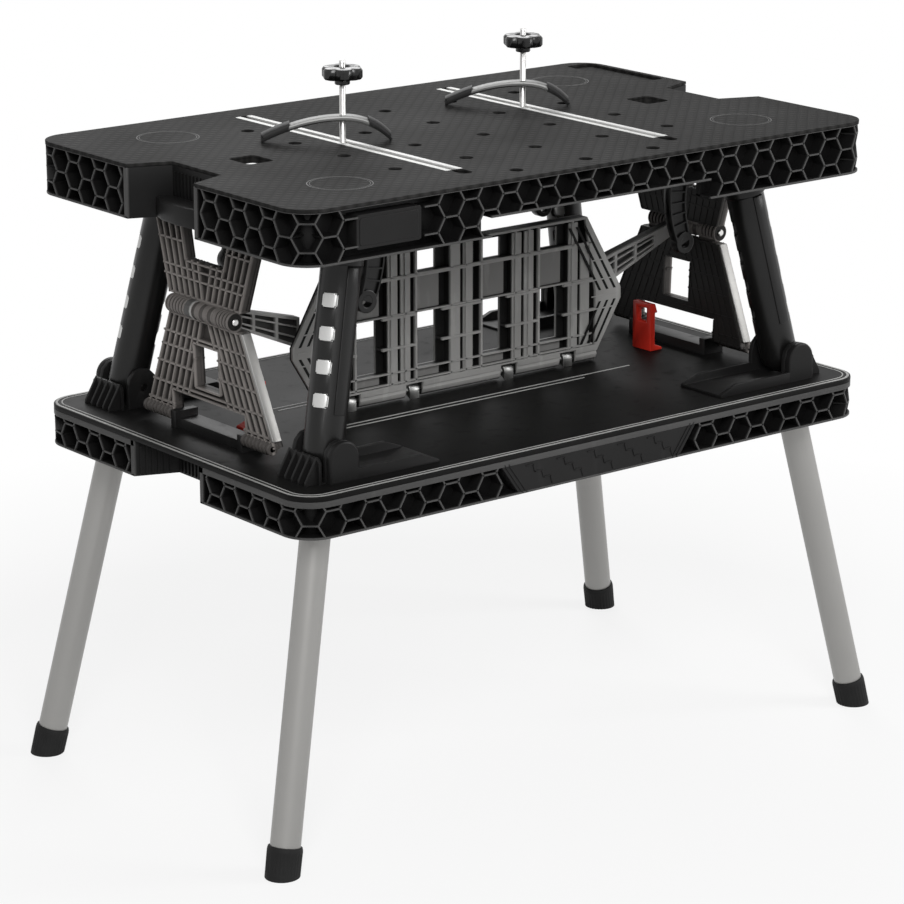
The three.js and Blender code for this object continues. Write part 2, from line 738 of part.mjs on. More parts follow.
add("shelf_top", shelfSkin(), blackPlastic);
const besideHandle = (u) => Math.abs(u) > (HANDLE_PANEL_LENGTH + CELL) / 2;
const shelfFrontCells = longRimCells(shelfBottom, shelfUnder, besideHandle);
add("shelf_front_rim", cut(longRim(-1, shelfBottom, shelfUnder), shelfFrontCells), blackPlastic);
add("shelf_back_rim", longRim(1, shelfBottom, shelfUnder), blackPlastic);
add("shelf_left_rim", endRim(-1, shelfBottom, shelfUnder), blackPlastic);
add("shelf_right_rim", endRim(1, shelfBottom, shelfUnder), blackPlastic);

// Leg brackets: a cradle on the shelf with two round cheeks for the sleeve, and two lugs below for the leg
function legBracket(sx, sy) {
  const pivot = legPoint(sx, sy, sleevePivotZ);
  const x = Math.abs(pivot.x);
  const y = Math.abs(pivot.y);
  const bore = SLEEVE_DIAMETER / 2 + CHEEK_CLEARANCE;
  const outer = x + CHEEK_RADIUS;
  const inboard = x - CRADLE_LENGTH;
  const floorTop = SHELF_HEIGHT + BRACKET_FLOOR;
  const rimTop = SHELF_HEIGHT + CRADLE_HEIGHT;
  const yLow = y - bore - CHEEK_THICK;
  const yHigh = yLow + CRADLE_WIDTH + 2 * CHEEK_THICK;
  const ramp = outline([
    [inboard, SHELF_HEIGHT],
    [outer, SHELF_HEIGHT],
    [outer, rimTop],
    [inboard + 2 * CRADLE_HEIGHT, rimTop],
    [inboard, floorTop],
  ]);
  const base = sidePlate(ramp, yLow, yHigh);
  const trough = block(inboard - 1, outer + 1, yLow + CHEEK_THICK, yHigh - CHEEK_THICK, floorTop, rimTop + 1);
  const cheek = new THREE.Shape();
  cheek.moveTo(x - CHEEK_RADIUS, SHELF_HEIGHT);
  cheek.lineTo(x + CHEEK_RADIUS, SHELF_HEIGHT);
  cheek.absarc(x, sleevePivotZ, CHEEK_RADIUS, 0, Math.PI, false);
  cheek.closePath();
  const cheeks = [
    sidePlate(cheek, yLow, yLow + CHEEK_THICK),
    sidePlate(cheek, y + bore, y + bore + CHEEK_THICK),
  ];
  const whole = sum([base.subtract(trough), ...cheeks]);
  const placed = mirrored(whole, sx, sy);
  const knee = legPoint(sx, sy, legPivotZ);
  const sleeveBore = stubAlong(sleeveAxis(sx, sy), 2 * SLEEVE_DIAMETER, SLEEVE_STUB / 2 + RUN);
  const legBore = stubAlong(legAxis(sx, sy), 2 * LEG_DIAMETER, LEG_STUB / 2 + RUN);
  return cut(sum([placed, lugBox(sx, sy, -1, 0), lugBox(sx, sy, 1, 0)]), [
    sleeveBore.translate([pivot.x, pivot.y, pivot.z]),
    legBore.translate([knee.x, knee.y, knee.z]),
  ]);
}

for (const { corner, sx, sy } of CORNERS) {
  add(`${corner}_bracket`, legBracket(sx, sy), blackPlastic);
}

// Upper legs: a windowed sleeve with a collar, round a bright liner tube
const sleeveLength = (deckUnder - SLEEVE_TOP_GAP - sleevePivotZ) * legSlope - SLEEVE_TOP_SLACK;

function quarterRound(radius, steps) {
  const points = [];
  for (let step = 0; step <= steps; step++) {
    const turn = (step / steps) * (Math.PI / 2);
    points.push([radius * Math.sin(turn), -radius * Math.cos(turn)]);
  }
  return points;
}

function legSleeve(sx, sy, group) {
  const outer = SLEEVE_DIAMETER / 2;
  const collar = COLLAR_DIAMETER / 2;
  const collarFoot = sleeveLength - COLLAR_LENGTH;
  const profile = [
    ...quarterRound(outer, 2),
    [outer, collarFoot],
    [collar, collarFoot + COLLAR_STEP],
    [collar, sleeveLength],
    [outer - SLEEVE_WALL, sleeveLength],
    [outer - SLEEVE_WALL, 0],
    [0, 0],
  ];
  const tools = [];
  for (let place = 0; place < WINDOW_COUNT; place++) {
    const z = WINDOW_START + place * WINDOW_PITCH;
    const half = WINDOW_WIDTH / 2;
    const window = block(0, outer + 1, -half, half, z, z + WINDOW_HEIGHT);
    tools.push(window.rotate([0, 0, sx > 0 ? sy * WINDOW_TURN : 180 - sy * WINDOW_TURN]));
  }
  const axis = sleeveAxis(sx, sy).applyQuaternion(group.quaternion.clone().invert());
  const stub = stubAlong(axis, outer + CHEEK_CLEARANCE + CHEEK_THICK, SLEEVE_STUB / 2);
  const bore = barZ(0, 0, 0, outer, outer, ROUND_SIDES);
  return cut(turned(profile), tools).add(stub.subtract(bore));
}

function sleeveLiner() {
  const outer = SLEEVE_DIAMETER / 2 - SLEEVE_WALL - SEAT;
  const inner = outer - LINER_WALL;
  return turned([
    [inner, SEAT],
    [outer, SEAT],
    [outer, sleeveLength],
    [inner, sleeveLength],
    [inner, SEAT],
  ]);
}

for (const { corner, sx, sy } of CORNERS) {
  const group = legGroup(sx, sy, sleevePivotZ);
  add(`${corner}_sleeve`, legSleeve(sx, sy, group), sleevePlastic, group);
  add(`${corner}_liner`, sleeveLiner(), aluminium, group);
}

// Lower legs: an aluminium tube with a round head, in a ribbed foot cut level with the floor
function legTube(sx, sy, group) {
  const outer = LEG_DIAMETER / 2;
  const end = FOOT_SOLE - legPivotZ * legSlope;
  const head = quarterRound(outer, 2).map(([r, h]) => [r, -h]);
  const tube = turned([
    [0, -outer],
    [outer - LEG_WALL, -outer],
    [outer - LEG_WALL, end],
    [outer, end],
    ...head.reverse(),
  ]);
  const axis = legAxis(sx, sy).applyQuaternion(group.quaternion.clone().invert());
  return tube.add(stubAlong(axis, lugOffset + LUG_THICK, LEG_STUB / 2));
}

function legFoot(group) {
  const outer = FOOT_DIAMETER / 2;
  const bore = LEG_DIAMETER / 2 + SEAT;
  const floor = -legPivotZ * legSlope;
  const sole = floor + FOOT_SOLE - SEAT;
  const profile = [
    [0, floor - outer],
    [outer, floor - outer],
    [outer, floor + FOOT_HEIGHT - FOOT_CHAMFER],
    [outer - FOOT_CHAMFER / 2, floor + FOOT_HEIGHT],
    [bore, floor + FOOT_HEIGHT],
    [bore, sole],
    [0, sole],
  ];
  const span = 4 * FOOT_DIAMETER;
  const ground = new THREE.BoxGeometry(span, span, span);
  const foot = legPoint(Math.sign(group.position.x), Math.sign(group.position.y), 0);
  ground.translate(foot.x, foot.y, -span / 2);
  ground.applyMatrix4(group.matrix.clone().invert());
  return turned(profile).subtract(solid(ground));
}

for (const { corner, sx, sy } of CORNERS) {
  const group = legGroup(sx, sy, legPivotZ);
  add(`${corner}_leg`, legTube(sx, sy, group), aluminium, group);
  add(`${corner}_foot`, legFoot(group), rubber, group);
}

// Folding ends. Each leaf is drawn in Y and height above its lower pin, with its outer face on the pin line.
// The lower leaf carries the elbow pin
function leafGroup(sx, z, tilt) {
  const group = new THREE.Group();
  group.position.set(sx * leafX, 0, z);
  if (tilt < 0) {
    group.position.x += sx * leafLength * Math.sin(lean);
  }
  group.rotation.y = sx * tilt * lean;
  bench.add(group);
  return group;
}

const leafInner = (sx, depth) => (sx > 0 ? [-depth, 0] : [0, depth]);

// A hollow in the outer face of a leaf, and its twin on the other side of the middle
function leafHollow(sx, points) {
  const [x0, x1] = leafInner(sx, LEAF_THICK - LEAF_SKIN);
  const open = sx > 0 ? [x0, x1 + 1] : [x0 - 1, x1];
  const twin = points.map(([y, z]) => [-y, z]).reverse();
  return [endPlate(outline(points), ...open), endPlate(outline(twin), ...open)];
}

function lowerLeaf(sx) {
  const foot = LEAF_FOOT_WIDTH / 2;
  const gap = LEAF_FOOT_GAP / 2;
  const top = LEAF_ELBOW_WIDTH / 2;
  const head = leafLength - ELBOW_BARREL / 2 - RUN;
  const shape = outline([
    [-foot, 0],
    [-gap, 0],
    [-gap, LEAF_FOOT_HEIGHT],
    [gap, LEAF_FOOT_HEIGHT],
    [gap, 0],
    [foot, 0],
    [top, head],
    [-top, head],
  ]);
  const window = LEAF_WINDOW_WIDTH / 2;
  shape.holes.push(
    outline([
      [-window, LEAF_WINDOW_RISE],
      [window, LEAF_WINDOW_RISE],
      [window, head - LEAF_WINDOW_HEAD],
      [-window, head - LEAF_WINDOW_HEAD],
    ]),
  );
  const plate = endPlate(shape, ...leafInner(sx, LEAF_THICK));
  const pieces = [plate];
  const tools = [];
  for (const sy of [-1, 1]) {
    const near = Math.min(sy * gap, sy * foot);
    const far = Math.max(sy * gap, sy * foot);
    pieces.push(barY(0, near, far, 0, LEAF_KNUCKLE / 2));
    tools.push(barY(0, near - 1, far + 1, 0, LEAF_PIN / 2 + RUN, PIN_SIDES));
  }
  const edgeAt = (z) => foot + ((top - foot) * z) / head;
  const low = LEAF_FOOT_HEIGHT + LEAF_RIB;
  const high = head - LEAF_WINDOW_HEAD;
  const middle = (low + high) / 2;
  for (let strip = 0; strip < LOWER_STRIPS; strip++) {
    for (const [z0, z1] of [[low, middle - LEAF_RIB / 2], [middle + LEAF_RIB / 2, high]]) {
      const outer = (z) => edgeAt(z) - LEAF_RIB - strip * LOWER_RIB_PITCH;
      const inner = (z) => outer(z) - LOWER_RIB_PITCH + LEAF_RIB;
      tools.push(...leafHollow(sx, [[outer(z0), z0], [outer(z1), z1], [inner(z1), z1], [inner(z0), z0]]));
    }
  }
  const armSlot = block(-LEAF_KNUCKLE, LEAF_KNUCKLE, armFront - RUN, armBack + RUN, leafLength - ARM_DEPTH,
    leafLength);
  return cut(sum([...pieces, ...elbowKnuckles(sx, leafLength, "lower")]), [
    ...tools,
    armSlot,
  ]).add(barY(0, -elbowEnd, elbowEnd, leafLength, ELBOW_PIN / 2, PIN_SIDES));
}

// Knuckles round the elbow pin, from -Y to +Y: lower leaf, upper leaf, arm, lower leaf
const elbowEnd = ELBOW_LENGTH / 2;
const armBack = ELBOW_ARM_PLACE + ELBOW_ARM_THICK / 2;
const armFront = ELBOW_ARM_PLACE - ELBOW_ARM_THICK / 2;

function elbowKnuckles(sx, z, leaf) {
  const spans = {
    lower: [
      [-elbowEnd, -elbowEnd + ELBOW_REACH],
      [armBack + RUN, elbowEnd],
    ],
    upper: [[-elbowEnd + ELBOW_REACH + RUN, armFront - RUN]],
  };
  const drop = leaf === "lower" ? -1 : 1;
  const stem = ELBOW_BARREL / 2 + 2 * RUN;
  return spans[leaf].map(([y0, y1]) => {
    const barrel = barY(0, y0, y1, z, ELBOW_BARREL / 2);
    const [x0, x1] = leafInner(sx, ELBOW_WEB);
    const z0 = Math.min(z, z + drop * stem);
    const z1 = Math.max(z, z + drop * stem);
    return barrel.add(block(x0, x1, y0, y1, z0, z1));
  });
}

function upperLeaf(sx) {
  const top = LEAF_ARM_WIDTH / 2;
  const gap = LEAF_ARM_GAP / 2;
  const vee = LEAF_VEE_WIDTH / 2;
  const foot = LEAF_ELBOW_WIDTH / 2;
  const heel = ELBOW_BARREL / 2 + RUN;
  const shape = outline([
    [-foot, heel],
    [foot, heel],
    [top, leafLength],
    [gap, leafLength],
    [vee, LEAF_VEE_RISE],
    [-vee, LEAF_VEE_RISE],
    [-gap, leafLength],
    [-top, leafLength],
  ]);
  const pieces = [endPlate(shape, ...leafInner(sx, LEAF_THICK))];
  const tools = [barY(0, -halfWidth, halfWidth, 0, ELBOW_PIN / 2 + RUN, PIN_SIDES)];
  for (const sy of [-1, 1]) {
    const near = Math.min(sy * gap, sy * top);
    const far = Math.max(sy * gap, sy * top);
    pieces.push(barY(0, near, far, leafLength, LEAF_KNUCKLE / 2));
    tools.push(barY(0, near - 1, far + 1, leafLength, LEAF_PIN / 2 + RUN, PIN_SIDES));
  }
  const edgeAt = (z) => foot + ((top - foot) * (z - heel)) / (leafLength - heel) - LEAF_RIB;
  const forkAt = (z) => vee + ((gap - vee) * (z - LEAF_VEE_RISE)) / (leafLength - LEAF_VEE_RISE) + LEAF_RIB;
  const floor = heel + LEAF_RIB;
  const rows = [];
  for (let y = LEAF_RIB_PITCH / 2; y + LEAF_RIB_PITCH - LEAF_RIB < edgeAt(floor); y += LEAF_RIB_PITCH) {
    const near = y - LEAF_RIB_PITCH / 2 + LEAF_RIB / 2;
    rows.push([[near, floor], [near + LEAF_RIB_PITCH - LEAF_RIB, floor],
      [near + LEAF_RIB_PITCH - LEAF_RIB, LEAF_VEE_RISE - LEAF_RIB], [near, LEAF_VEE_RISE - LEAF_RIB]]);
  }
  const ceiling = leafLength - LEAF_KNUCKLE / 2 - LEAF_RIB;
  for (let z0 = LEAF_VEE_RISE; z0 + LEAF_SHELF_PITCH - LEAF_RIB <= ceiling; z0 += LEAF_SHELF_PITCH) {
    const z1 = z0 + LEAF_SHELF_PITCH - LEAF_RIB;
    const split = (z) => (edgeAt(z) + forkAt(z)) / 2;
    const web = LEAF_RIB / 2;
    rows.push([[forkAt(z0), z0], [split(z0) - web, z0], [split(z1) - web, z1], [forkAt(z1), z1]]);
    rows.push([[split(z0) + web, z0], [edgeAt(z0), z0], [edgeAt(z1), z1], [split(z1) + web, z1]]);
  }
  const hollows = rows.flatMap((points) => leafHollow(sx, points));
  return cut(sum([...pieces, ...elbowKnuckles(sx, 0, "upper")]), [...tools, ...hollows]);
}

// A bright edge strip on the front edge of each lower leaf
function leafStrip(sx) {
  const foot = LEAF_FOOT_WIDTH / 2;
  const top = LEAF_ELBOW_WIDTH / 2;
  const rise = leafLength - ELBOW_BARREL / 2 - RUN;
  const low = LEAF_KNUCKLE / 2 + RUN;
  const edge = (z) => -foot + ((foot - top) * z) / rise - SEAT;
  const shape = outline([
    [edge(low) - STRIP_THICK, low],
    [edge(low), low],
    [edge(rise), rise],
    [edge(rise) - STRIP_THICK, rise],
  ]);
  return endPlate(shape, ...leafInner(sx, STRIP_WIDTH));
}

// The base that each lower leaf turns on: a low bar between the feet, with a lug and a round pin at each
// end. The bar lies inboard of the pin line, where the wall of the hand notch passes it when the bench shuts
function shelfHinge(sx) {
  const end = LEAF_FOOT_GAP / 2 - RUN;
  const outside = leafX + LEAF_PIN / 2 + RUN;
  const inside = leafX - LEAF_FOOT_HEIGHT + 2 * RUN;
  const bar = block(leafX, inside, -end, end, SHELF_HEIGHT, SHELF_HEIGHT + HINGE_BAR_HEIGHT);
  const pieces = [bar];
  for (const sy of [-1, 1]) {
    const near = sy * (end - HINGE_LUG);
    const far = sy * end;
    pieces.push(block(outside, inside, near, far, SHELF_HEIGHT, SHELF_HEIGHT + HINGE_LUG_HEIGHT));
    const tip = sy * (LEAF_FOOT_WIDTH / 2);
    pieces.push(barY(leafX, Math.min(near, tip), Math.max(near, tip), shelfPinZ, LEAF_PIN / 2, PIN_SIDES));
  }
  return mirrored(sum(pieces), sx, 1);
}

// The arm from the elbow pin to the back of the centre panel's wing
function elbowArm(sx) {
  const y0 = ELBOW_ARM_PLACE - ELBOW_ARM_THICK / 2;
  const y1 = ELBOW_ARM_PLACE + ELBOW_ARM_THICK / 2;
  const elbowX = leafLength * Math.sin(lean);
  const elbowZ = shelfPinZ + leafLength * Math.cos(lean);
  const wingX = PANEL_WING / 2 - ARM_OVERLAP - leafX;
  const wingZ = panelPinZ + WING_HIGH + ARM_OVERLAP / 2 - elbowZ;
  const slim = ELBOW_ARM_THICK / 2;
  const deep = ARM_DEPTH / 2;
  const points = [
    [elbowX, -slim],
    [elbowX, slim],
    [wingX, wingZ + deep],
    [wingX, wingZ - deep],
  ];
  const shape = sx > 0 ? points : points.map(([x, z]) => [-x, z]).reverse();
  const bar = sidePlate(outline(shape), y0, y1);
  const upperEdge = (x) => slim + ((wingZ + deep - slim) * (x - elbowX)) / (wingX - elbowX) - LEAF_RIB;
  const lowerEdge = (x) => -slim + ((wingZ - deep + slim) * (x - elbowX)) / (wingX - elbowX) + LEAF_RIB;
  const start = elbowX - 2 * ELBOW_BARREL;
  const bay = (wingX - start) / ARM_BAYS.length;
  const hollows = ARM_BAYS.map((place) => {
    const xa = start + bay * place - LEAF_RIB / 2;
    const xb = start + bay * (place + 1) + LEAF_RIB / 2;
    const corners = [[xa, lowerEdge(xa)], [xa, upperEdge(xa)], [xb, upperEdge(xb)], [xb, lowerEdge(xb)]];
    const drawn = sx > 0 ? corners : corners.map(([x, z]) => [-x, z]).reverse();
    return sidePlate(outline(drawn), y0 - 1, y1 - LEAF_SKIN);
  });
  const eye = barY(sx * elbowX, y0, y1, 0, ELBOW_BARREL / 2);
  const bore = barY(sx * elbowX, y0 - 1, y1 + 1, 0, ELBOW_PIN / 2 + RUN, PIN_SIDES);
  return cut(bar.add(eye), [bore, ...hollows]).translate([sx * leafX, 0, elbowZ]);
}

for (const { side, sx } of SIDES) {
  const lower = leafGroup(sx, shelfPinZ, 1);
  const upper = leafGroup(sx, shelfPinZ + leafLength * Math.cos(lean), -1);
  add(`${side}_shelf_hinge`, shelfHinge(sx), blackPlastic);
  add(`${side}_lower_leaf`, lowerLeaf(sx), leafPlastic, lower);
  add(`${side}_leaf_strip`, leafStrip(sx), aluminium, lower);
  add(`${side}_upper_leaf`, upperLeaf(sx), leafPlastic, upper);
  add(`${side}_elbow_arm`, elbowArm(sx), panelPlastic);
}

// Centre panel, drawn in X and height above its hinge rod
function centrePanel() {
  const foot = PANEL_FOOT / 2;
  const top = PANEL_TOP / 2;
  const wing = PANEL_WING / 2;
  const sill = PANEL_KNUCKLE / 4;
  const front = -PANEL_THICK / 2;
  const back = PANEL_THICK / 2;
  const core = outline([
    [-foot, sill],
    [foot, sill],
    [foot, WING_HIGH],
    [top, PANEL_HEIGHT],
    [-top, PANEL_HEIGHT],
    [-foot, WING_HIGH],
  ]);
  const wings = outline([
    [-foot, sill],
    [foot, sill],
    [wing, WING_LOW],
    [wing, WING_HIGH],
    [top, PANEL_HEIGHT],
    [-top, PANEL_HEIGHT],
    [-wing, WING_HIGH],
    [-wing, WING_LOW],
  ]);
  const plate = sidePlate(core, front, back).add(sidePlate(wings, front, front + WING_THICK));
  const tools = [];
  for (const x of PANEL_WINDOW_PLACES) {
    for (const [z0, z1] of [PANEL_LOW_WINDOW, PANEL_HIGH_WINDOW]) {
      tools.push(block(x - PANEL_WINDOW / 2, x + PANEL_WINDOW / 2, front - 1, back + 1, z0, z1));
    }
  }
  const knuckle = barX(-foot, foot, 0, 0, PANEL_KNUCKLE / 2);
  for (const x of PANEL_LUG_PLACES) {
    const half = PANEL_LUG_NOTCH / 2;
    tools.push(block(x - half, x + half, front - 1, back + 1, -PANEL_KNUCKLE, PANEL_KNUCKLE / 2 + 2 * RUN));
  }
  tools.push(barX(-foot - 1, foot + 1, 0, 0, PANEL_PIN / 2 + RUN, PIN_SIDES));
  return cut(plate.add(knuckle), [...tools, panelPockets(front, back)]).translate([0, 0, panelPinZ]);
}

// The hollows between the ribs of the centre panel, open to the front
function panelPockets(front, back) {
  const sill = PANEL_KNUCKLE / 2 + PANEL_RIB;
  const foot = PANEL_FOOT / 2 - PANEL_RIB;
  const top = PANEL_TOP / 2 - PANEL_RIB;
  const head = PANEL_HEIGHT - PANEL_RIB;
  const field = outline([
    [-foot, sill],
    [foot, sill],
    [foot, WING_HIGH],
    [top, head],
    [-top, head],
    [-foot, WING_HIGH],
  ]);
  const floor = back - PANEL_SKIN;
  const half = PANEL_RIB / 2;
  const ribs = PANEL_SHELVES.map((z) => block(-foot, foot, front - 2, floor + 1, z - half, z + half));
  for (const x of PANEL_RIB_PLACES) {
    ribs.push(block(x - half, x + half, front - 2, floor + 1, 0, PANEL_HEIGHT));
  }
  return cut(sidePlate(field, front - 1, floor), ribs);
}

// The hinge rod of the centre panel, with the lugs that stand on the shelf
function panelHinge() {
  const rod = barX(-PANEL_FOOT / 2, PANEL_FOOT / 2, 0, panelPinZ, PANEL_PIN / 2, PIN_SIDES);
  const half = PANEL_KNUCKLE / 2;
  const lugs = PANEL_LUG_PLACES.map((x) => {
    const shape = new THREE.Shape();
    shape.moveTo(half, SHELF_HEIGHT);
    shape.absarc(0, panelPinZ, half, 0, Math.PI, false);
    shape.lineTo(-half, SHELF_HEIGHT);
    shape.closePath();
    return endPlate(shape, x - PANEL_LUG / 2, x + PANEL_LUG / 2);
  });
  return sum([rod, ...lugs]);
}

add("centre_panel", centrePanel(), panelPlastic);
add("panel_hinge_rod", panelHinge(), steel);

// Swing hooks: a crescent with a ring at its end, on the pin of a hanger under the work top
function swingHook(sx, sy) {
  const x = hookX;
  const z = hookPinZ;
  const endX = x - HOOK_SET_IN;
  const endZ = z - HOOK_DROP;
  const half = HOOK_WIDTH / 2;
  const spine = new THREE.QuadraticBezierCurve(
    new THREE.Vector2(x, z),
    new THREE.Vector2((x + endX) / 2 - 2 * HOOK_BULGE, (z + endZ) / 2),
    new THREE.Vector2(endX, endZ),
  );
  const steps = 4;
  const outerEdge = [];
  const innerEdge = [];
  for (let step = 0; step <= steps; step++) {
    const at = step / steps;
    const point = spine.getPoint(at);
    const along = spine.getTangent(at);
    outerEdge.push([point.x + along.y * half, point.y - along.x * half]);
    innerEdge.push([point.x - along.y * half, point.y + along.x * half]);
  }
  const y0 = hookNear;
  const y1 = hookFar;
  const crescent = sidePlate(outline([...innerEdge, ...outerEdge.reverse()]), y0, y1);
  const ring = barY(endX, y0, y1, endZ, HOOK_RING / 2, 10);
  const head = barY(x, y0, y1, z, HOOK_HEAD / 2, 10);
  const eye = barY(x, y0 - 1, y1 + 1, z, HOOK_PIN / 2 + RUN, PIN_SIDES);
  const bore = barY(endX, y0 - 1, y1 + 1, endZ, HOOK_BORE / 2, PIN_SIDES);
  return mirrored(cut(sum([crescent, ring, head]), [eye, bore]), sx, sy);
}

for (const { corner, sx, sy } of CORNERS) {
  add(`${corner}_hook`, swingHook(sx, sy), sleevePlastic);
}

// Latches: a red tab with a buckle head and a foot on the shelf
function shelfLatch(sx) {
  const x = halfLength - LATCH_INSET;
  const half = LATCH_WIDTH / 2;
  const thick = LATCH_THICK / 2;
  const top = SHELF_HEIGHT + LATCH_HEIGHT;
  const profile = outline([
    [x - thick, SHELF_HEIGHT],
    [x + thick + LATCH_FOOT, SHELF_HEIGHT],
    [x + thick + LATCH_FOOT, SHELF_HEIGHT + LATCH_THICK / 2],
    [x + thick, SHELF_HEIGHT + LATCH_THICK],
    [x + thick, top - LATCH_FOOT],
    [x + thick + LATCH_THICK / 2, top - LATCH_FOOT],
    [x + thick, top],
    [x - thick, top],
  ]);
  const tab = sidePlate(profile, -half, half);
  const buckle = block(x - LATCH_THICK, x + 2 * LATCH_THICK, -half / 2, half / 2, top - 2 * LATCH_FOOT,
    top - LATCH_FOOT / 2);
  return mirrored(tab.subtract(buckle), sx, 1);
}

for (const { side, sx } of SIDES) {
  add(`${side}_latch`, shelfLatch(sx), redPlastic);
}

export default bench;
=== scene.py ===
import math

import bpy
import bmesh
from mathutils import Matrix, Vector


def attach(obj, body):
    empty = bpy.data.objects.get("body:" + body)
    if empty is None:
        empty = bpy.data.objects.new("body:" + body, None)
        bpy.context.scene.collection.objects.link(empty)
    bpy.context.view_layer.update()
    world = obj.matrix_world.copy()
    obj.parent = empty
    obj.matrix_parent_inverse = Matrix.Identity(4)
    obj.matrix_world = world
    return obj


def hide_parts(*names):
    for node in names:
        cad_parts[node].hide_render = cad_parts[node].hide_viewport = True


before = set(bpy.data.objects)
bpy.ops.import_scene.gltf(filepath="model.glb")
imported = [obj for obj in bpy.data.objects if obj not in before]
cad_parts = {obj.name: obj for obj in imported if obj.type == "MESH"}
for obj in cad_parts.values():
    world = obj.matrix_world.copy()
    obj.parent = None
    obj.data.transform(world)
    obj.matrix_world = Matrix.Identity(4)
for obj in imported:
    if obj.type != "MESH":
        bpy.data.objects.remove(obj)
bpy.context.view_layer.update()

# The camera stands to the front left at chest height, with a long lens, as the bench was photographed.
# Its place and turn are fitted to the edges of the top and the shelf, for a square picture.
def put(name, data):
    """A new object in the scene."""
    made = bpy.data.objects.new(name, data)
    bpy.context.collection.objects.link(made)
    return made


PICTURE, FOCAL, SENSOR = 904, 3443.33, 36
CAMERA_PLACE, CAMERA_BACK = (-2.51233, -3.14341, 1.52708), (-0.5981, -0.7511, 0.2795)
back = Vector(CAMERA_BACK).normalized()
right = Vector((0, 0, 1)).cross(back).normalized()
facing = Matrix((right, back.cross(right), back)).transposed()
camera = put("camera", bpy.data.cameras.new("camera"))
camera.matrix_world = Matrix.Translation(CAMERA_PLACE) @ facing.to_4x4()
camera.data.lens = SENSOR * FOCAL / PICTURE
camera.data.sensor_width = SENSOR
camera.data.clip_end = 50
bpy.context.scene.camera = camera
bpy.context.scene.view_settings.view_transform = "Standard"


# The studio: a pale floor that takes the shadow, a white room, and three broad soft lamps.
# The key is high on the left, the fill on the right, and the third stands behind the bench.
class Wire:
    """An output of a node, with arithmetic that adds Math nodes to its tree."""

    def __init__(self, tree, socket=None):
        self.tree = tree
        self.socket = socket

    def node(self, kind, settings=None, inputs=None, output=0):
        made = self.tree.nodes.new(kind)
        for key, value in (settings or {}).items():
            if key == "stops":
                for place, (at, colour) in enumerate(value):
                    stops = made.color_ramp.elements
                    stop = stops[place] if place < 2 else stops.new(at)
                    stop.position = at
                    stop.color = colour
            else:
                setattr(made, key, value)
        for key, value in (inputs or {}).items():
            if isinstance(value, Wire):
                self.tree.links.new(value.socket, made.inputs[key])
            else:
                made.inputs[key].default_value = value
        return Wire(self.tree, made.outputs[output] if len(made.outputs) else None)

    def math(self, operation, first, second):
        return self.node("ShaderNodeMath", {"operation": operation}, {0: first, 1: second})

    def __add__(self, other):
        return self.math("ADD", self, other)

    def __sub__(self, other):
        return self.math("SUBTRACT", self, other)

    def __rsub__(self, other):
        return self.math("SUBTRACT", other, self)

    def __mul__(self, other):
        return self.math("MULTIPLY", self, other)

    __radd__ = __add__
    __rmul__ = __mul__


def fresh_tree(holder):
    holder.use_nodes = True
    holder.node_tree.nodes.clear()
    return Wire(holder.node_tree)


def seen_white(start):
    """One for a ray from the camera, off a shiny face or through glass, and nought for light that spreads."""
    kinds = ("Is Camera Ray", "Is Glossy Ray", "Is Transmission Ray")
    seen, shiny, through = (start.node("ShaderNodeLightPath", None, None, kind) for kind in kinds)
    return start.math("MAXIMUM", seen, start.math("MAXIMUM", shiny, through))


def rise(start, value, low, high):
    """Nought up to a low value, and one from a high value on."""
    return start.node("ShaderNodeMapRange", None, {"Value": value, "From Min": low, "From Max": high})


room = bpy.data.worlds.new("room")
bpy.context.scene.world = room
sky = fresh_tree(room)
ROOM_LIGHT = 0.22
strength = ROOM_LIGHT + seen_white(sky) * (1 - ROOM_LIGHT)
light = sky.node("ShaderNodeBackground", None, {"Color": (1, 1, 1, 1), "Strength": strength})
sky.node("ShaderNodeOutputWorld", None, {"Surface": light})

FLOOR_HALF, FLOOR_WHITE, FLOOR_NEAR, FLOOR_FAR = 9, 0.8, 0.75, 1.35
floor_corners = [(x * FLOOR_HALF, y * FLOOR_HALF, 0) for x, y in ((-1, -1), (1, -1), (1, 1), (-1, 1))]
floor_mesh = bpy.data.meshes.new("floor")
floor_mesh.from_pydata(floor_corners, [], [(0, 1, 2, 3)])
floor = put("floor", floor_mesh)
pale = bpy.data.materials.new("floor_paper")
ground = fresh_tree(pale)
paper = ground.node("ShaderNodeBsdfDiffuse", None, {"Color": (0.93, 0.93, 0.93, 1)})
glow = ground.node("ShaderNodeEmission", None, {"Color": (1, 1, 1, 1), "Strength": 1.0})
place = ground.node("ShaderNodeTexCoord", None, None, "Object")
away = ground.node("ShaderNodeVectorMath", {"operation": "LENGTH"}, {0: place}, "Value")
far = rise(ground, away, FLOOR_NEAR, FLOOR_FAR)
mostly = seen_white(ground) * (FLOOR_WHITE + far * (1 - FLOOR_WHITE))
white = ground.node("ShaderNodeMixShader", None, {0: mostly, 1: paper, 2: glow})
ground.node("ShaderNodeOutputMaterial", None, {"Surface": white})
floor_mesh.materials.append(pale)

for name, place, aim, size, power in (
    ("key_lamp", (-2.1, -3.0, 2.7), (0, 0, 0.5), 1.8, 108),
    ("fill_lamp", (2.8, -2.4, 1.8), (0, 0, 0.5), 1.6, 62),
    ("top_lamp", (1.5, 2.6, 2.6), (0, 0, 0.5), 1.8, 36),
):
    lamp = bpy.data.lights.new(name, "AREA")
    lamp.size = size
    lamp.energy = power
    holder = put(name, lamp)
    holder.location = place
    holder.rotation_euler = (Vector(place) - Vector(aim)).to_track_quat("Z", "Y").to_euler()


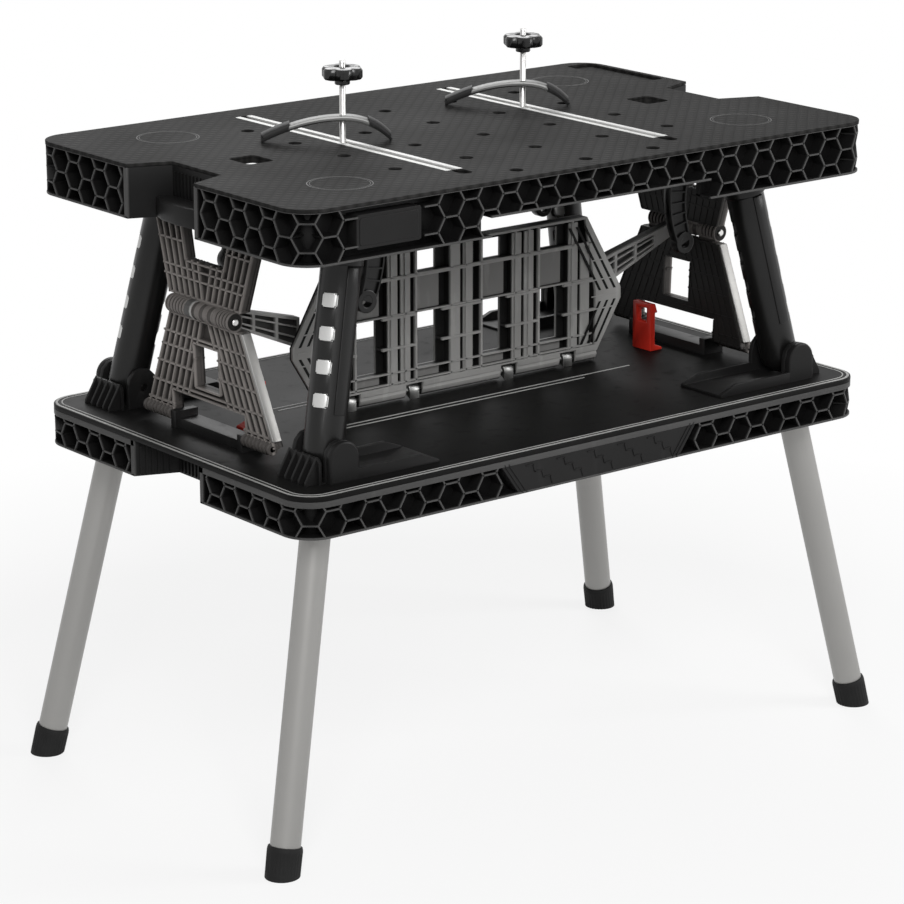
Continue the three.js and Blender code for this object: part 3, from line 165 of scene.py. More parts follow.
# The work top: a moulded board with rounded corners, a hand notch in each end, two finger holes,
# rows of dog holes, two grooves for the clamp rails, and a shallow tray in the back right corner.
# Its face is finely checkered, and each corner has a round mark where a foot of another bench nests.
MM = 0.001
HALF_LENGTH, HALF_WIDTH, CORNER = 425, 265, 38
TABLE, DECK_UNDER, DECK_BOTTOM, EDGE = 755, 746, 692, 4


def principled(start, inputs):
    surface = start.node("ShaderNodeBsdfPrincipled", None, inputs)
    start.node("ShaderNodeOutputMaterial", None, {"Surface": surface})


def speckle(start, scale, detail=3.0, stretch=None, coordinates="Object"):
    place = start.node("ShaderNodeTexCoord", None, None, coordinates)
    if stretch:
        place = start.node("ShaderNodeMapping", None, {"Vector": place, "Scale": stretch})
    return start.node("ShaderNodeTexNoise", None, {"Vector": place, "Scale": scale, "Detail": detail})


def tint(start, share, dark, pale_tone):
    stops = [(0.0, (*dark, 1)), (1.0, (*pale_tone, 1))]
    return start.node("ShaderNodeValToRGB", {"stops": stops}, {"Fac": share})


def relief(start, height, strength, distance):
    return start.node("ShaderNodeBump", None, {"Height": height, "Strength": strength, "Distance": distance})


def shaded(tone, share, lift=0.0):
    return tuple(part * share + lift for part in tone)


def moulded(name, colour, rough, grain=0.12, scuff=0.35, face=None, face_colour=None, gloss=0.12):
    """Moulded plastic: a fine grain, a slow drift of tone, and pale rubbed streaks.
    Where a face mask is given, its hollows are painted darker than its outer face, as shade."""
    made = bpy.data.materials.new(name)
    start = fresh_tree(made)
    cloud = speckle(start, 9.0)
    fine = speckle(start, 900.0, 2.0)
    streak = speckle(start, 60.0, 5.0, (1.0, 1.0, 0.25))
    worn = rise(start, streak, 0.58, 0.75)
    share = cloud * 0.6 + worn * scuff

    def toned(tone):
        return tint(start, share, shaded(tone, 0.8), shaded(tone, 1.9, 0.004))

    base = toned(colour)
    # A face mask paints shade into the hollows: the given colour there, and the paler face colour on the
    # outer face.
    if face:
        mixed = {0: face(start), 6: base, 7: toned(face_colour)}
        base = start.node("ShaderNodeMix", {"data_type": "RGBA"}, mixed, 2)
    shine = rough - 0.08 + cloud * 0.16 + worn * 0.1
    principled(start, {
        "Base Color": base, "Roughness": shine, "Specular IOR Level": gloss,
        "Normal": relief(start, fine, grain, 0.4 * MM),
    })
    return made


def plain_mesh(holder, name):
    """The evaluated shape of an object as a mesh of its own; the object goes."""
    bpy.context.view_layer.update()
    seen_now = holder.evaluated_get(bpy.context.evaluated_depsgraph_get())
    made = bpy.data.meshes.new_from_object(seen_now)
    made.name = name
    source = holder.data
    bpy.data.objects.remove(holder)
    if isinstance(source, bpy.types.Curve):
        bpy.data.curves.remove(source)
    else:
        bpy.data.meshes.remove(source)
    return made


def board(name, outlines, low, high, bevel):
    """A flat board from its outline and holes in millimetres, with eased edges."""
    drawn = bpy.data.curves.new(name, "CURVE")
    drawn.dimensions = "2D"
    drawn.fill_mode = "BOTH"
    drawn.extrude = ((high - low) / 2 - bevel) * MM
    drawn.bevel_depth = bevel * MM
    drawn.bevel_resolution = 1
    drawn.offset = -bevel * MM
    for points in outlines:
        spline = drawn.splines.new("POLY")
        spline.points.add(len(points) - 1)
        for point, (x, y) in zip(spline.points, points):
            point.co = (x * MM, y * MM, 0, 1)
        spline.use_cyclic_u = True
    made = plain_mesh(put(name, drawn), name)
    made.transform(Matrix.Translation((0, 0, (low + high) / 2 * MM)))
    return made


def to_mesh(whole, name):
    made = bpy.data.meshes.new(name)
    whole.to_mesh(made)
    whole.free()
    return made


def joined(name, meshes):
    whole = bmesh.new()
    for mesh in meshes:
        whole.from_mesh(mesh)
        bpy.data.meshes.remove(mesh)
    return to_mesh(whole, name)


def piece(name, mesh, material, body, nodes=(), smooth=35):
    mesh.materials.clear()
    mesh.materials.append(material)
    for face in mesh.polygons:
        face.material_index = 0
    made = put(name, mesh)
    if smooth:
        mesh.shade_smooth()
        mesh.set_sharp_from_angle(angle=math.radians(smooth))
    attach(made, body)
    if nodes:
        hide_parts(*nodes)


def corner_arc(x, y, radius, start, steps=10):
    turns = [math.radians(start + 90 * step / steps) for step in range(steps + 1)]
    return [(x + radius * math.cos(turn), y + radius * math.sin(turn)) for turn in turns]


def rounded(x0, x1, y0, y1, radius, steps=6):
    return (
        corner_arc(x1 - radius, y0 + radius, radius, -90, steps)
        + corner_arc(x1 - radius, y1 - radius, radius, 0, steps)
        + corner_arc(x0 + radius, y1 - radius, radius, 90, steps)
        + corner_arc(x0 + radius, y0 + radius, radius, 180, steps)
    )


def ring(x, y, radius, steps=28):
    turns = [2 * math.pi * step / steps for step in range(steps)]
    return [(x + radius * math.cos(turn), y + radius * math.sin(turn)) for turn in turns]


edge_x, edge_y = HALF_LENGTH - CORNER, HALF_WIDTH - CORNER
NOTCH_X, NOTCH_HALF, NOTCH_FLOOR = 375, 67, 48
right_notch = [
    (HALF_LENGTH, -NOTCH_HALF), (NOTCH_X, -NOTCH_FLOOR), (NOTCH_X, NOTCH_FLOOR), (HALF_LENGTH, NOTCH_HALF),
]
left_notch = [(-x, -y) for x, y in right_notch]
deck_outline = (
    corner_arc(edge_x, -edge_y, CORNER, -90)
    + right_notch
    + corner_arc(edge_x, edge_y, CORNER, 0)
    + corner_arc(-edge_x, edge_y, CORNER, 90)
    + left_notch
    + corner_arc(-edge_x, -edge_y, CORNER, 180)
)
DOG_HOLE, COLUMN_GAP, ROW_GAP, FRONT_ROW = 7.75, 102, 95, -232
RAIL_X, FINGER_X, FINGER_HALF, FINGER_REACH = 154, 300, 18, 21
MARK_Y, MARK_RINGS, INNER_X, INNER_Y = 168, ((37, 1.0), (34, 0.6)), 367, 244
TRAY_X, TRAY_Y, TRAY_DEEP = (377, 417), (100, 246), 4
GROOVE_HALF, GROOVE_ENDS, GROOVE_DEEP = 12.3, (-186.3, 222.3), 7.1
MOUTH_HALF, MOUTH_ENDS, BED_HALF, BED_ENDS = 8, (-212, -187), 14, (-214, 224)
deck_holes = [rounded(*TRAY_X, *TRAY_Y, 6)]
for column in range(-2, 3):
    for row in range(4):
        deck_holes.append(ring(column * COLUMN_GAP, (row - 1.5) * ROW_GAP, DOG_HOLE))
for column in range(-1, 2):
    deck_holes.append(ring(column * COLUMN_GAP, FRONT_ROW, DOG_HOLE))
for side in (-1, 1):
    finger, groove = side * FINGER_X, side * RAIL_X
    deck_holes.append(rounded(finger - FINGER_HALF, finger + FINGER_HALF, -FINGER_REACH, FINGER_REACH, 6))
    deck_holes.append(rounded(groove - GROOVE_HALF, groove + GROOVE_HALF, *GROOVE_ENDS, 1, 2))
    deck_holes.append(rounded(groove - MOUTH_HALF, groove + MOUTH_HALF, *MOUTH_ENDS, 7, 6))
deck_parts = [board("deck", [deck_outline] + deck_holes, TABLE - EDGE, TABLE, 0.8)]
inner_outline = rounded(-INNER_X, INNER_X, -INNER_Y, INNER_Y, 17)
inner_holes = [hole for hole in deck_holes if max(x for x, _ in hole) < INNER_X]
deck_parts.append(board("deck", [inner_outline] + inner_holes, DECK_UNDER, TABLE - EDGE / 2, 0.2))
tray_floor = rounded(TRAY_X[0] - 1, TRAY_X[1] + 1, TRAY_Y[0] - 1, TRAY_Y[1] + 1, 6)
deck_parts.append(board("tray", [tray_floor], DECK_UNDER, TABLE - TRAY_DEEP, 0.3))
marks = []
for side in (-1, 1):
    bed = rounded(side * RAIL_X - BED_HALF, side * RAIL_X + BED_HALF, *BED_ENDS, 1, 2)
    deck_parts.append(board("groove", [bed], DECK_UNDER, TABLE - GROOVE_DEEP, 0.2))
    for end in (-1, 1):
        for radius, wide in MARK_RINGS:
            rings = [ring(side * FINGER_X, end * MARK_Y, size, 56) for size in (radius, radius - wide)]
            marks.append(board("mark", rings, TABLE - 1, TABLE + 0.25, 0.1))


def checkered(name, colour):
    """Plastic with a fine grain of raised diamonds and pale dust specks; the hollows between the diamonds are
    painted darker, as shade.
    """
    made = bpy.data.materials.new(name)
    start = fresh_tree(made)
    place = start.node("ShaderNodeTexCoord", None, None, "Object")
    aslant = start.node("ShaderNodeMapping", None, {"Vector": place, "Rotation": (0, 0, math.pi / 4)})
    waves = []
    for direction in ("X", "Y"):
        settings = {"wave_type": "BANDS", "bands_direction": direction, "wave_profile": "TRI"}
        waves.append(start.node("ShaderNodeTexWave", settings, {"Vector": aslant, "Scale": 26.0}))
    diamond = waves[0].math("MINIMUM", waves[0], waves[1])
    fine = speckle(start, 700.0, 2.0)
    cloud = speckle(start, 7.0)
    dust = speckle(start, 240.0, 4.0)
    spots = rise(start, dust, 0.64, 0.74)
    # The colour rises with the height of the diamonds: painted shade in the hollows between them, and pale
    # dust specks.
    share = cloud * 0.2 + diamond * 0.5 + spots * 0.3
    base = tint(start, share, shaded(colour, 0.5), shaded(colour, 2.0, 0.006))
    height = diamond * 0.8 + fine * 0.2
    principled(start, {
        "Base Color": base, "Roughness": 0.52 + cloud * 0.18, "Specular IOR Level": 0.03,
        "Normal": relief(start, height, 0.9, 0.8 * MM),
    })
    return made


deck_grain = checkered("deck_grain", (0.019, 0.0186, 0.0182))
piece("deck_board", joined("deck_board", deck_parts), deck_grain, "deck", ["deck_top"])
moulded_black = moulded("moulded_black", (0.0095, 0.0093, 0.0093), 0.42)
# The round marks are painted paler than the top.
pale_mark_plastic = moulded("pale_mark_plastic", (0.06, 0.06, 0.059), 0.4)
piece("corner_marks", joined("corner_marks", marks), pale_mark_plastic, "deck")


# The rims of the top: thin honeycomb ribs stand out from an inner wall, between an upper and a lower flange.
# They are moulded in one with the board, in black polypropylene, and bend in round the hand notches.
def rib_group():
    tree = bpy.data.node_groups.new("rib_set", "GeometryNodeTree")
    tree.interface.new_socket("Geometry", in_out="INPUT", socket_type="NodeSocketGeometry")
    names = {}
    for label in ("Thickness", "Depth"):
        socket = tree.interface.new_socket(label, in_out="INPUT", socket_type="NodeSocketFloat")
        names[label] = socket.identifier
    tree.interface.new_socket("Geometry", in_out="OUTPUT", socket_type="NodeSocketGeometry")
    start = Wire(tree)
    given = start.node("NodeGroupInput")
    thick = Wire(tree, given.socket.node.outputs["Thickness"])
    deep = Wire(tree, given.socket.node.outputs["Depth"])
    block = start.node("GeometryNodeMeshCube", None, {"Size": (1, 1, 1)})
    angles = start.node("GeometryNodeInputNamedAttribute", {"data_type": "FLOAT_VECTOR"}, {"Name": "turn"})
    length = start.node("GeometryNodeInputNamedAttribute", {"data_type": "FLOAT"}, {"Name": "length"})
    rotation = start.node("FunctionNodeEulerToRotation", None, {0: angles})
    size = start.node("ShaderNodeCombineXYZ", None, {"X": length, "Y": thick, "Z": deep})
    inputs = {"Points": given, "Instance": block, "Rotation": rotation, "Scale": size}
    placed = start.node("GeometryNodeInstanceOnPoints", None, inputs)
    whole = start.node("GeometryNodeRealizeInstances", None, {"Geometry": placed})
    dressed = start.node("GeometryNodeSetMaterial", None, {"Geometry": whole, "Material": moulded_black})
    start.node("NodeGroupOutput", None, {"Geometry": dressed})
    return tree, names


rib_tree, rib_inputs = rib_group()


def ribs(name, walls, thickness, depth):
    """Thin ribs, each from one end to the other of a line on a face, reaching inwards from it."""
    points, turns, lengths = [], [], []
    for start, end, inward in walls:
        along = Vector(end) - Vector(start)
        across = Vector(inward).cross(along).normalized()
        axes = Matrix((along.normalized(), across, along.normalized().cross(across))).transposed()
        points.append(((Vector(start) + Vector(end)) / 2 + Vector(inward) * depth / 2) * MM)
        turns += tuple(axes.to_euler())
        lengths.append((along.length + thickness * 0.6) * MM)
    mesh = bpy.data.meshes.new(name)
    mesh.from_pydata(points, [], [])
    mesh.attributes.new("turn", "FLOAT_VECTOR", "POINT").data.foreach_set("vector", turns)
    mesh.attributes.new("length", "FLOAT", "POINT").data.foreach_set("value", lengths)
    holder = put(name, mesh)
    modifier = holder.modifiers.new("ribs", "NODES")
    modifier.node_group = rib_tree
    modifier[rib_inputs["Thickness"]] = thickness * MM
    modifier[rib_inputs["Depth"]] = depth * MM
    return plain_mesh(holder, name)


CELL = 31.5
PERIMETER = 4 * (edge_x + edge_y) + 2 * math.pi * CORNER
COLUMNS = 98
PITCH = PERIMETER / COLUMNS


def on_rim(along):
    """A point of the rounded outline and its outward direction, by the distance from the front middle."""
    arc = math.pi / 2 * CORNER
    left = along % PERIMETER
    runs = (
        (edge_x, (0, -HALF_WIDTH), -90), (arc, (edge_x, -edge_y), -90),
        (2 * edge_y, (HALF_LENGTH, -edge_y), 0), (arc, (edge_x, edge_y), 0),
        (2 * edge_x, (edge_x, HALF_WIDTH), 90), (arc, (-edge_x, edge_y), 90),
        (2 * edge_y, (-HALF_LENGTH, edge_y), 180), (arc, (-edge_x, -edge_y), 180),
        (edge_x, (-edge_x, -HALF_WIDTH), 270),
    )
    for number, (length, (x, y), facing_way) in enumerate(runs):
        if left <= length:
            break
        left -= length
    turn = math.radians(facing_way)
    if number % 2:
        turn += left / CORNER
        return (x + CORNER * math.cos(turn), y + CORNER * math.sin(turn)), (math.cos(turn), math.sin(turn))
    return (x - left * math.sin(turn), y + left * math.cos(turn)), (math.cos(turn), math.sin(turn))


def honeycomb(name, base, high, lowest, thickness, depth):
    """Cell walls round the rim up to a height, from the lowest level given for each place, if any."""
    reach = PITCH / 1.5
    inset = thickness * 0.3
    lines = []
    for column in range(COLUMNS):
        middle = column * PITCH
        for row in range(4):
            centre = base + (row - 0.5 * (column % 2) + 0.5) * CELL
            for (u0, v0), (u1, v1) in (
                ((-0.5, -0.5), (0.5, -0.5)), ((0.5, -0.5), (1.0, 0.0)), ((1.0, 0.0), (0.5, 0.5)),
            ):
                s0, s1 = middle + u0 * reach, middle + u1 * reach
                z0, z1 = centre + v0 * CELL, centre + v1 * CELL
                (x, y), (nx, ny) = on_rim((s0 + s1) / 2)
                low = lowest(x, y)
                if low is None or max(z0, z1) <= low or min(z0, z1) >= high:
                    continue
                ends = [(s0, z0), (s1, z1)]
                if z0 != z1:
                    kept = [min(max(z, low + inset), high) for z in (z0, z1)]
                    ends = [(s0 + (s1 - s0) * (z - z0) / (z1 - z0), z) for z in kept]
                walls = []
                for along, z in ends:
                    (px, py), _ = on_rim(along)
                    walls.append((px - nx * inset, py - ny * inset, z))
                lines.append((*walls, (-nx, -ny, 0)))
    return ribs(name, lines, thickness, depth)


def band(start_at, end_at, outer, inner, low, high, bevel=0.4):
    """A strip that follows the outline between two insets and two heights."""
    count = max(2, int(abs(end_at - start_at) / 6))
    places = [start_at + (end_at - start_at) * step / count for step in range(count + 1)]
    strip = []
    for inset, way in ((outer, places), (inner, places[::-1])):
        for along in way:
            (x, y), (nx, ny) = on_rim(along)
            strip.append((x - nx * inset, y - ny * inset))
    return board("band", [strip], low, high, bevel)


WALL_FRONT, WALL_BACK, FLANGE = 19, 26, 2.5
NOTCH_WALL, GRILLE_GAP, GRILLE_FOOT, GRILLE_HEAD = 6, 7, 3, 7
LEDGE_HALF, LEDGE_TOP = ((405, 0), (402, 34), (394, 55), (374, NOTCH_FLOOR)), 24
SLANT_X, SLANT_Y = 0.935, 0.355


def rim(low, high, lip, gap, gap_top):
    """Inner walls and flanges of a rim, with a hand notch in each end and, on the top, a gap at the front."""
    parts = []

    def edging(run, bottom):
        parts.append(band(*run, WALL_FRONT, WALL_BACK, bottom, high))
        parts.append(band(*run, 0, WALL_BACK, bottom, bottom + FLANGE))
        parts.append(band(*run, 0, WALL_BACK, high - lip, high))

    quarter = edge_x + math.pi / 2 * CORNER + edge_y
    for side in (-1, 1):
        front = (side * gap, side * (quarter - NOTCH_HALF))
        rear = (PERIMETER / 2, PERIMETER / 2 + side * (PERIMETER / 2 - quarter - NOTCH_HALF))
        edging(front, low)
        edging(rear, low)
        x, y, mouth = NOTCH_X - NOTCH_WALL, NOTCH_FLOOR + NOTCH_WALL, NOTCH_HALF + NOTCH_WALL
        wall = right_notch + [(HALF_LENGTH, mouth), (x, y), (x, -y), (HALF_LENGTH, -mouth)]
        parts.append(board("notch", [[(side * x, side * y) for x, y in wall]], low, high, 0.4))
        grille = []
        foot, head = low + GRILLE_FOOT, high - GRILLE_HEAD
        for place in range(-6, 7):
            x, y = side * (NOTCH_X + 1.6), place * GRILLE_GAP
            grille.append(((x, y, foot), (x, y, head), (-side, 0, 0)))
        if gap:
            ledge = [(x, -y) for x, y in LEDGE_HALF[:0:-1]] + list(LEDGE_HALF)
            ledge = [(side * x, side * y) for x, y in ledge]
            parts.append(board("ledge", [ledge], low + 0.5, low + LEDGE_TOP, 3.0))
        else:
            for way in (-1, 1):
                for place in range(1, 7):
                    along = 1 + place * GRILLE_GAP
                    x = side * (HALF_LENGTH - SLANT_X * along + 0.57)
                    y = way * (NOTCH_HALF - SLANT_Y * along - 1.5)
                    into = (-side * SLANT_Y, way * SLANT_X, 0)
                    grille.append(((x, y, foot), (x, y, head), into))
        parts.append(ribs("grille", grille, 2.4, 3))
    if gap:
        edging((-gap, gap), gap_top)
    return parts


def rim_cell_shade(start):
    """One on the outer face of a rim and nought in its cells, where shade is painted, by the distance in from
    the outline.
    """
    place = start.node("ShaderNodeTexCoord", None, None, "Object")
    across = start.node("ShaderNodeVectorMath", {"operation": "ABSOLUTE"}, {0: place})
    core = (edge_x * MM, edge_y * MM, 9)
    past = start.node("ShaderNodeVectorMath", {"operation": "SUBTRACT"}, {0: across, 1: core})
    past = start.node("ShaderNodeVectorMath", {"operation": "MAXIMUM"}, {0: past, 1: (0, 0, 0)})
    reach = start.node("ShaderNodeVectorMath", {"operation": "LENGTH"}, {0: past}, "Value")
    return rise(start, reach, (CORNER - 3) * MM, (CORNER - 0.8) * MM)


GAP_HALF, GAP_TOP, CELL_LIFT = 164, 714, 0.4
PLATE_X, PLATE_Z = (-350, -262), (704, 742)


def at_notch(x, y):
    return abs(x) > HALF_LENGTH - 25 and abs(y) < NOTCH_HALF + 5


def at_front(y):
    return y < 5 - HALF_WIDTH


def deck_cell_floor(x, y):
    """Where the cells of the top start: nowhere in the notches or behind the plate, and above the gap."""
    if at_notch(x, y) or (at_front(y) and PLATE_X[0] - 1 < x < PLATE_X[1] + 1):
        return None
    return CELL_LIFT + (GAP_TOP if at_front(y) and abs(x) < GAP_HALF else DECK_BOTTOM)


# The cells of the rim are painted near black as shade, and its outer rib edges a paler grey.
rim_black = moulded("rim_black", (0.0055, 0.0054, 0.0054), 0.45, 0.12, 0.2, rim_cell_shade, (0.052, 0.0515, 0.051))
rim_parts = rim(DECK_BOTTOM, TABLE - EDGE - 0.3, 0.8, GAP_HALF, GAP_TOP)
rim_parts.append(honeycomb("deck_cells", DECK_BOTTOM, TABLE - EDGE - 0.9, deck_cell_floor, 1.9, 20))
deck_rims = ["deck_front_rim", "deck_back_rim", "deck_left_rim", "deck_right_rim"]
piece("deck_rim", joined("deck_rim", rim_parts), rim_black, "deck", deck_rims)


# The front plate: a bare panel in a raised frame, moulded into the front rim between the cells.
# It is smoother than the ribs round it.
def upright(mesh, y):
    """Stands a board up: its own Y becomes the height, and its thickness goes back from the face at Y."""
    mesh.transform(Matrix.Translation((0, y * MM, 0)) @ Matrix.Rotation(math.pi / 2, 4, "X"))
    return mesh


plate = []
for inset, face_y in ((0, -264.2), (4, -264.9)):
    edge = rounded(PLATE_X[0] + inset, PLATE_X[1] - inset, PLATE_Z[0] + inset, PLATE_Z[1] - inset, 3)
    plate.append(upright(board("plate", [edge], -20, 0, 0.5), face_y))
piece("front_plate", joined("front_plate", plate), moulded_black, "deck")


# The shelf: a board on the same outline as the top, edged by two raised lines, on a honeycomb rim.
# A smooth handle panel fills the middle of the front rim, and each end has a hand-hold under the skin.
SHELF, SHELF_UNDER, SHELF_BOTTOM = 437, 431, 388


def frame_line(inset, wide, low, high):
    """A raised line that follows the outline of the shelf."""
    edges = []
    for within in (inset, inset + wide):
        x, y = HALF_LENGTH - within, HALF_WIDTH - within
        edges.append(rounded(-x, x, -y, y, CORNER - within, 10))
    return board("line", edges, low, high, 0.2)


shelf_outline = rounded(-HALF_LENGTH, HALF_LENGTH, -HALF_WIDTH, HALF_WIDTH, CORNER, 10)
shelf_board = board("shelf_board", [shelf_outline], SHELF_UNDER, SHELF, 1.2)
raised = (SHELF - 1, SHELF + 0.4)
lines = [frame_line(2.0, 3.0, *raised), frame_line(9, 1.6, *raised)]
LINE_HALF, LONG_LINE, SHORT_LINE = 1.2, 232, 150
for y, reach in ((-60, SHORT_LINE), (-50, LONG_LINE), (50, LONG_LINE), (60, SHORT_LINE)):
    line = rounded(-LONG_LINE, reach, y - LINE_HALF, y + LINE_HALF, 1.0, 2)
    lines.append(board("line", [line], *raised, 0.15))
# The raised lines are painted pale as a highlight along them.
shelf_line_highlight = moulded("shelf_line_highlight", (0.36, 0.36, 0.35), 0.4)
piece("shelf_lines", joined("shelf_lines", lines), shelf_line_highlight, "shelf")
shelf_black = moulded("shelf_black", (0.005, 0.0049, 0.0048), 0.5, gloss=0.06)
piece("shelf_board", shelf_board, shelf_black, "shelf", ["shelf_top"])


HANDLE_TOP, HANDLE_FOOT, HANDLE_HEAD = 150, 122, 427


def shelf_cell_floor(x, y):
    """Where the cells of the shelf start: nowhere in the hand-holds or behind the handle panel."""
    return None if at_notch(x, y) or (at_front(y) and abs(x) < HANDLE_TOP) else SHELF_BOTTOM


shelf_rim_parts = rim(SHELF_BOTTOM, SHELF_UNDER, 7, 0, 0)
shelf_rim_parts.append(honeycomb("shelf_cells", SHELF_BOTTOM, SHELF_UNDER - 4, shelf_cell_floor, 1.9, 20))
STAIR_FACE, STAIR_RUN, STAIR_DROP = -265.2, 13, 9
handle = [(-HANDLE_TOP, HANDLE_HEAD), (-HANDLE_FOOT, SHELF_BOTTOM)]
handle += [(-x, z) for x, z in handle[::-1]]
grip = [upright(board("handle", [handle], -20, 0, 1.0), -264.3)]
stairs = []
for start in (-112, -66, -20, 26, 72):
    x, z = start, 420
    for step in range(3):
        corner, after = (x + 10, STAIR_FACE, z), (x + STAIR_RUN, STAIR_FACE, z - STAIR_DROP)
        stairs.append(((x, STAIR_FACE, z), corner, (0, 1, 0)))
        stairs.append((corner, after, (0, 1, 0)))
        x, z = x + STAIR_RUN, z - STAIR_DROP
for way in (-1, 1):
    for inset in (5, 11):
        top = (way * (HANDLE_TOP - 1 - inset), STAIR_FACE, HANDLE_HEAD - 1)
        foot = (way * (HANDLE_FOOT - inset), STAIR_FACE, SHELF_BOTTOM + 1)
        stairs.append((top, foot, (0, 1, 0)))
grip.append(ribs("stairs", stairs, 1.4, 2))
shelf_rims = ["shelf_front_rim", "shelf_back_rim", "shelf_left_rim", "shelf_right_rim"]
piece("shelf_rim", joined("shelf_rim", shelf_rim_parts), rim_black, "shelf", shelf_rims)
piece("shelf_grip", joined("shelf_grip", grip), moulded_black, "shelf")


# The clamp rails: two drawn aluminium channels with a lipped mouth, pressed into the grooves of the top.
# The foot of each clamp slides along inside.
def metal(name, colour, rough, stretch, depth, bare=1.0, coordinates="Object"):
    """Bare or anodised metal, with fine lines along the way it was drawn."""
    made = bpy.data.materials.new(name)
    start = fresh_tree(made)
    lines = speckle(start, 260.0, 4.0, stretch, coordinates)
    cloud = speckle(start, 12.0)
    base = tint(start, lines * 0.5 + cloud * 0.5, shaded(colour, 0.86), colour)
    principled(start, {
        "Base Color": base, "Metallic": bare, "Roughness": rough - 0.06 + lines * 0.12,
        "Normal": relief(start, lines, depth, 0.2 * MM),
    })
    return made


def bevelled(holder, width, angle):
    edges = holder.modifiers.new("edges", "BEVEL")
    edges.width = width * MM
    edges.segments = 2
    edges.limit_method = "ANGLE"
    edges.angle_limit = math.radians(angle)
    return edges


def eased(node, width):
    """A copy of a moulded or cast part with the edges eased as a mould leaves them."""
    whole = bmesh.new()
    whole.from_mesh(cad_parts[node].data)
    bmesh.ops.remove_doubles(whole, verts=whole.verts, dist=0.00002)
    flat_edges = [edge for edge in whole.edges if edge.is_manifold and edge.calc_face_angle(1) < 0.02]
    bmesh.ops.dissolve_edges(whole, edges=flat_edges, use_verts=True, use_face_split=False)
    mesh = to_mesh(whole, node)
    mesh.shade_smooth()
    holder = put(node, mesh)
    bevelled(holder, width, 30).harden_normals = True
    return plain_mesh(holder, node)


def eased_piece(node, ending, width, material, body):
    """A part that keeps its solid's shape, with its edges eased, in the place of that solid."""
    piece(node + ending, eased(node, width), material, body, [node], None)


SIDES = (("left", -1), ("right", 1))
rail_aluminium = metal("rail_aluminium", (0.68, 0.68, 0.67), 0.5, (1.0, 0.03, 1.0), 0.10, 0.35)
for side, _ in SIDES:
    eased_piece(side + "_clamp_rail", "_drawn", 0.3, rail_aluminium, "deck")


# The hold-down clamps: a threaded steel rod stands in each rail, with an arched steel bar and a lobed knob.
# The bar has rubber tips that press on the work, and the knob is hard black rubber over a hub.
def turned(name, profile, steps=40, fluted=None):
    """A shape turned about Z from pairs of radius and height, up the outside and down the inside."""
    whole = bmesh.new()
    layer = whole.loops.layers.uv.new("along")
    rows = []
    for step in range(steps):
        turn = 2 * math.pi * step / steps
        row = []
        for radius, height in profile:
            wide = fluted(radius, height, step / steps) if fluted else radius
            spot = (wide * math.cos(turn) * MM, wide * math.sin(turn) * MM, height * MM)
            row.append(whole.verts.new(spot))
        rows.append(row)
    for step in range(steps):
        for place in range(len(profile) - 1):
            near, after = rows[step], rows[(step + 1) % steps]
            face = whole.faces.new((near[place], after[place], after[place + 1], near[place + 1]))
            for loop, (u, v) in zip(face.loops, ((0, 0), (1, 0), (1, 1), (0, 1))):
                loop[layer].uv = ((step + u) / steps, profile[place + v][1] * MM)
    bmesh.ops.remove_doubles(whole, verts=whole.verts, dist=0.000001)
    return to_mesh(whole, name)


def lobed(radius, height, share):
    lobe = math.sqrt((1 + math.cos(6 * 2 * math.pi * share)) / 2)
    return radius * (0.8 + 0.2 * lobe) if radius > 16 else radius


BAR_LONG, BAR_SHORT, BAR_RISE, BAR_BEND = 95, 56, 24, 34


def arch(along):
    """The height of the clamp bar above its ends, by the distance from the rod."""
    if along < 0:
        share = 1 + along / BAR_LONG
        return BAR_RISE * (1 - (1 - share) ** 2)
    low, high = 0.0, 1.0
    for _ in range(24):
        share = (low + high) / 2
        at = 2 * (1 - share) * share * BAR_BEND + share * share * BAR_SHORT
        low, high = (share, high) if at < along else (low, share)
    return BAR_RISE * (1 - share * share)


def bar_part(start, end, wide, thick, bevel):
    places = [start + (end - start) * step / 24 for step in range(25)]
    lower = [(x, TABLE + 0.3 + arch(x)) for x in places]
    upper = [(x, z + thick) for x, z in lower[::-1]]
    return upright(board("bar", [lower + upper], -wide / 2, wide / 2, bevel), 0)


plated_steel = metal("plated_steel", (0.8, 0.795, 0.78), 0.3, (1.0, 1.0, 1.0), 0.05)
dull_steel = metal("dull_steel", (0.17, 0.17, 0.167), 0.48, (0.2, 0.2, 1.0), 0.08)
hard_rubber = moulded("hard_rubber", (0.022, 0.022, 0.022), 0.5, 0.3)
knob_black = moulded("knob_black", (0.004, 0.004, 0.004), 0.2, 0.08, 0.1, gloss=0.4)
THREADS, THREAD_START, THREAD_PITCH, THREAD_ROOT = 80, 750, 1.25, 3.5
ROD, ROD_FOOT, ROD_TOP = 3.75, 749.8, 851
STEEL_ENDS, STEEL_WIDE, STEEL_THICK = (-72, 36), 18, 7
TIP_ENDS, TIP_WIDE, TIP_THICK = ((-BAR_LONG, -62), (30, BAR_SHORT)), 22, 10
KNOB_PROFILE = (
    (0, 822), (8.2, 822), (9, 823), (9, 828), (19, 828), (23, 829), (25, 831.5), (25, 839.5),
    (23, 842), (19, 843), (10, 843), (9, 841.4), (4.2, 841.4), (4.2, 840), (0, 840),
)
